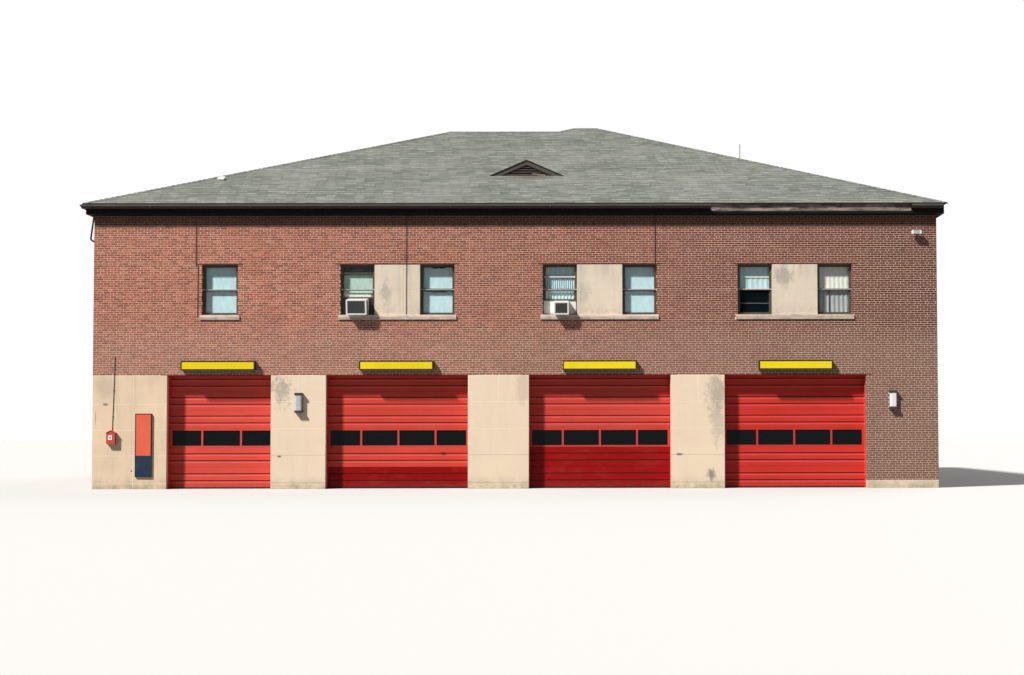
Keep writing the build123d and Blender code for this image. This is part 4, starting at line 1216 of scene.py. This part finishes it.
def call_box():
    """The red box with its little roof, white plate and conduit, and the cables on the wall."""
    red = painted("call_box_red", (0.52, 0.075, 0.06), 0.35, (0.25, 0.06, 0.05), 0.3)
    dress(red, "call_box")
    low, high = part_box("call_box")
    x, half = (low.x + high.x) / 2, (high.x - low.x) / 2
    gable = 0.07
    pitch, length = math.atan2(gable, half), math.hypot(half, gable) + 0.02
    roofs = [((x + side * (half / 2 + 0.008), (low.y + high.y) / 2 - 0.008, high.z - gable / 2 + 0.003),
              (length, high.y - low.y + 0.016, 0.012), (0, side * pitch, 0)) for side in (-1, 1)]
    soft_edges(lay("call_box_roof", roofs, red, seed=81), 0.002)
    white = [((x - 0.015, low.y - 0.003, low.z + 0.198), (0.122, 0.006, 0.145))]
    lay("call_box_plate", white, painted("plate_white", (0.78, 0.78, 0.76), 0.5), seed=82)
    mark = [((x - 0.01, low.y - 0.0065, low.z + 0.20), (0.04, 0.003, 0.036))]
    lay("call_box_mark", mark, painted("mark_dark", (0.10, 0.05, 0.05), 0.5), seed=83)
    off_wall, thick = 0.012, 0.016
    top = Vector((-12.251, front_y - off_wall, 4.05))
    foot = Vector((x + 0.012, front_y - off_wall, high.z - 0.02))
    slant = top - foot
    conduit = [((top + foot) / 2, (thick, thick, slant.length), (0, math.atan2(slant.x, slant.z), 0))]
    for share in (0.2, 0.55, 0.9):
        spot = foot + slant * share
        conduit.append(((spot.x, front_y - 0.01, spot.z), (0.045, 0.026, 0.018)))
    dark = painted("conduit", (0.13, 0.085, 0.065), 0.6)
    soft_edges(lay("call_box_conduit", conduit, dark, seed=84), 0.004, 2)
    runs = [((x, front_y - 0.010, (foot + top) / 2), (thick, thick, top - foot)) for x, foot, top in
            ((-9.80, 6.84, brick_top), (-9.745, 5.27, 6.84), (-3.355, 5.33, brick_top), (4.278, 6.60, brick_top))]
    runs.append(((-9.7725, front_y - 0.010, 6.84), (0.071, thick, thick)))
    black = painted("cable_black", (0.035, 0.022, 0.02), 0.6)
    soft_edges(lay("wall_cables", runs, black, seed=85), 0.004, 2)


def notice_board():
    """A black frame round two bare fields, orange red over navy."""
    dress(painted("board_frame", (0.015, 0.015, 0.017), 0.45), "notice_board")
    low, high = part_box("notice_board")
    edge, recess = 0.024, 0.008
    x, width = (low.x + high.x) / 2, high.x - low.x - 2 * edge - 0.001
    split = low.z + 0.335 * (high.z - low.z)
    for name, colour, z0, z1 in (("board_red", (0.74, 0.13, 0.07), split, high.z - edge),
                                 ("board_navy", (0.010, 0.028, 0.060), low.z + edge, split)):
        field = [((x, low.y + recess - 0.002, (z0 + z1) / 2), (width, 0.004, z1 - z0 - 0.001))]
        lay(name, field, painted(name, colour, 0.4, (0.3, 0.2, 0.15), 0.12), seed=91)


def coolers():
    """White enamel, the first cooler's filler panels painted near black as shade, and the grilles and the large,
    dark side louvres, partly painted shade, of the two window coolers.
    """
    dress(painted("fitting_white", (0.82, 0.82, 0.80), 0.4, (0.40, 0.37, 0.32), 0.35),
          "air_conditioner_1", "air_conditioner_2", "roof_stack", "roof_vent")
    filler = painted("filler_panels", (0.82, 0.82, 0.80), 0.5)
    # The first cooler's filler panels are painted near black: painted shade of the reveal they lie in
    filler.over(filler.spread(filler.x, -2.0, -2.1), (0.035, 0.035, 0.04))
    dress(filler, "cooler_panels")
    plates, bars = [], []
    rim, recess = 0.045, 0.018
    back = recess - cooler_reach
    leaning = Matrix.Rotation(cooler_lean, 4, "X")
    for number, case_height in enumerate(cooler_heights):
        low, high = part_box("air_conditioner_%d" % (number + 1))
        x, half = (low.x + high.x) / 2, (high.x - low.x) / 2
        place = Matrix.Translation((x, front_y + window_reveal, sill_top + frame_face + clear)) @ leaning
        width, height, middle = 2 * (half - rim), case_height - 2 * rim, case_height / 2

        def add(group, spot, size, turn=0.0):
            group.append((place @ Vector(spot), size, (cooler_lean + turn, 0, 0)))

        add(plates, (0, back - 0.0015, middle), (width - 0.001, 0.003, height - 0.001))
        count = int(height / 0.02)
        for row in range(count):
            add(bars, (0, back - 0.008, rim + (row + 0.5) * height / count), (width - 0.002, 0.012, 0.006), 0.5)
        for column in range(1, 6):
            add(bars, (column * width / 6 - width / 2, back - 0.014, middle), (0.004, 0.004, height - 0.002))
        # Side louvres, made large and dark: partly louvres, partly painted shade on the coolers' sides
        step = (case_height - 0.14) / 9
        for side in (-1, 1):
            for row in range(10):
                add(plates, (side * half, 0.15 - cooler_reach, 0.07 + row * step), (0.003, 0.22, 0.7 * step))
    lay("cooler_backs", plates, painted("grille", (0.035, 0.037, 0.038), 0.5), seed=95)
    lay("cooler_grilles", bars, painted("grille_bars", (0.10, 0.105, 0.105), 0.45), seed=96)


def eaves():
    """Brown cornice darkened further as painted shade, bare where the gutter is gone; the gutter, with painted shade
    on its underside, its joints, the black drip edges, which also stand for the shadow under the shingles' edge,
    and the downpipe.
    """
    sides = ("front", "right", "back", "left")
    # Dark brown paint, made darker still as painted shade of the gutter and soffit
    brown = painted("cornice_brown", (0.010, 0.009, 0.009), 0.7, (0.007, 0.006, 0.006), 0.4, Specular_IOR_Level=0.05)
    start, end = gutter_break
    bare = brown.times(brown.spread(brown.x, start - 0.02, start + 0.02), brown.spread(brown.x, end + 0.02, end - 0.02),
                       brown.spread(brown.z, *board_foot), brown.spread(brown.y, front_y, front_y - 0.1))
    patch = brown.mix(brown.spread(brown.noise(1.4, 5, 0.7, (1, 1, 5)), 0.42, 0.62), (0.105, 0.085, 0.080),
                      (0.35, 0.29, 0.277))
    brown.over(bare, patch)
    dress(brown, *("cornice_" + side for side in sides))
    faded = painted("gutter_brown", (0.087, 0.072, 0.070), 0.5, (0.19, 0.15, 0.13), 0.5, 3.0, (0.5, 0.5, 2))
    # Painted shade on the gutter's lower face
    faded.over(faded.spread(faded.z, *gutter_shade_band), (0.022, 0.018, 0.017))
    dress(faded, *("gutter_" + side for side in sides))
    joints, place = [], -half_width + first_joint
    while place < gutter_break[0] - 0.3:
        joints.append(((place, front_y - gutter_out, joint_height), (0.05, 0.006, 0.085)))
        place += gutter_length
    lay("gutter_sleeves", joints, faded, seed=97)
    drips = []
    reach = roof_edge_out + 0.012
    for wall, start, end in (("front", -half_width - reach, half_width + reach),
                             ("right", front_y - reach, back_y + reach),
                             ("back", -half_width - reach, reach - step_x),
                             ("back_left", reach - step_x, half_width + reach),
                             ("left", -step_y - reach, reach - front_y),
                             ("back_step", -back_y - reach, -step_y - reach)):
        face = walls[wall]
        drips.append((face.at((start + end) / 2, reach, drip_height), face.size(end - start, 0.005, 0.028)))
    # Black drip edges, which also stand for the shadow line under the shingles' edge
    lay("drip_edges", drips, painted("drip_edge_shadow_black", (0.014, 0.012, 0.012), 0.6), seed=98)
    dress(painted("downpipe_grey", (0.035, 0.03, 0.03), 0.55, (0.10, 0.05, 0.035), 0.4), "downpipe")


def floors():
    """Plain concrete and boards inside."""
    slab = Finish("concrete", (0.42, 0.41, 0.39), 0.85)
    slab.colour(slab.mix(slab.spread(slab.noise(1.2, 6, 0.6), 0.35, 0.7), (0.44, 0.43, 0.41), (0.33, 0.32, 0.30)))
    slab.bump(slab.noise(30, 5), 0.002, 0.4)
    dress(slab, "ground_floor", "upper_floor")
    boards = Finish("boards", (0.40, 0.29, 0.18), 0.8)
    boards.colour(boards.mix(boards.noise(3, 5, 0.6, (8, 0.4, 1)), (0.45, 0.33, 0.20), (0.28, 0.19, 0.11)))
    dress(boards, "attic_floor")


for make in (street_camera, studio, brickwork, stonework, roofing, window_dressing, window_cloths, doors, signs, lights,
             call_box, notice_board, coolers, eaves, floors):
    make()
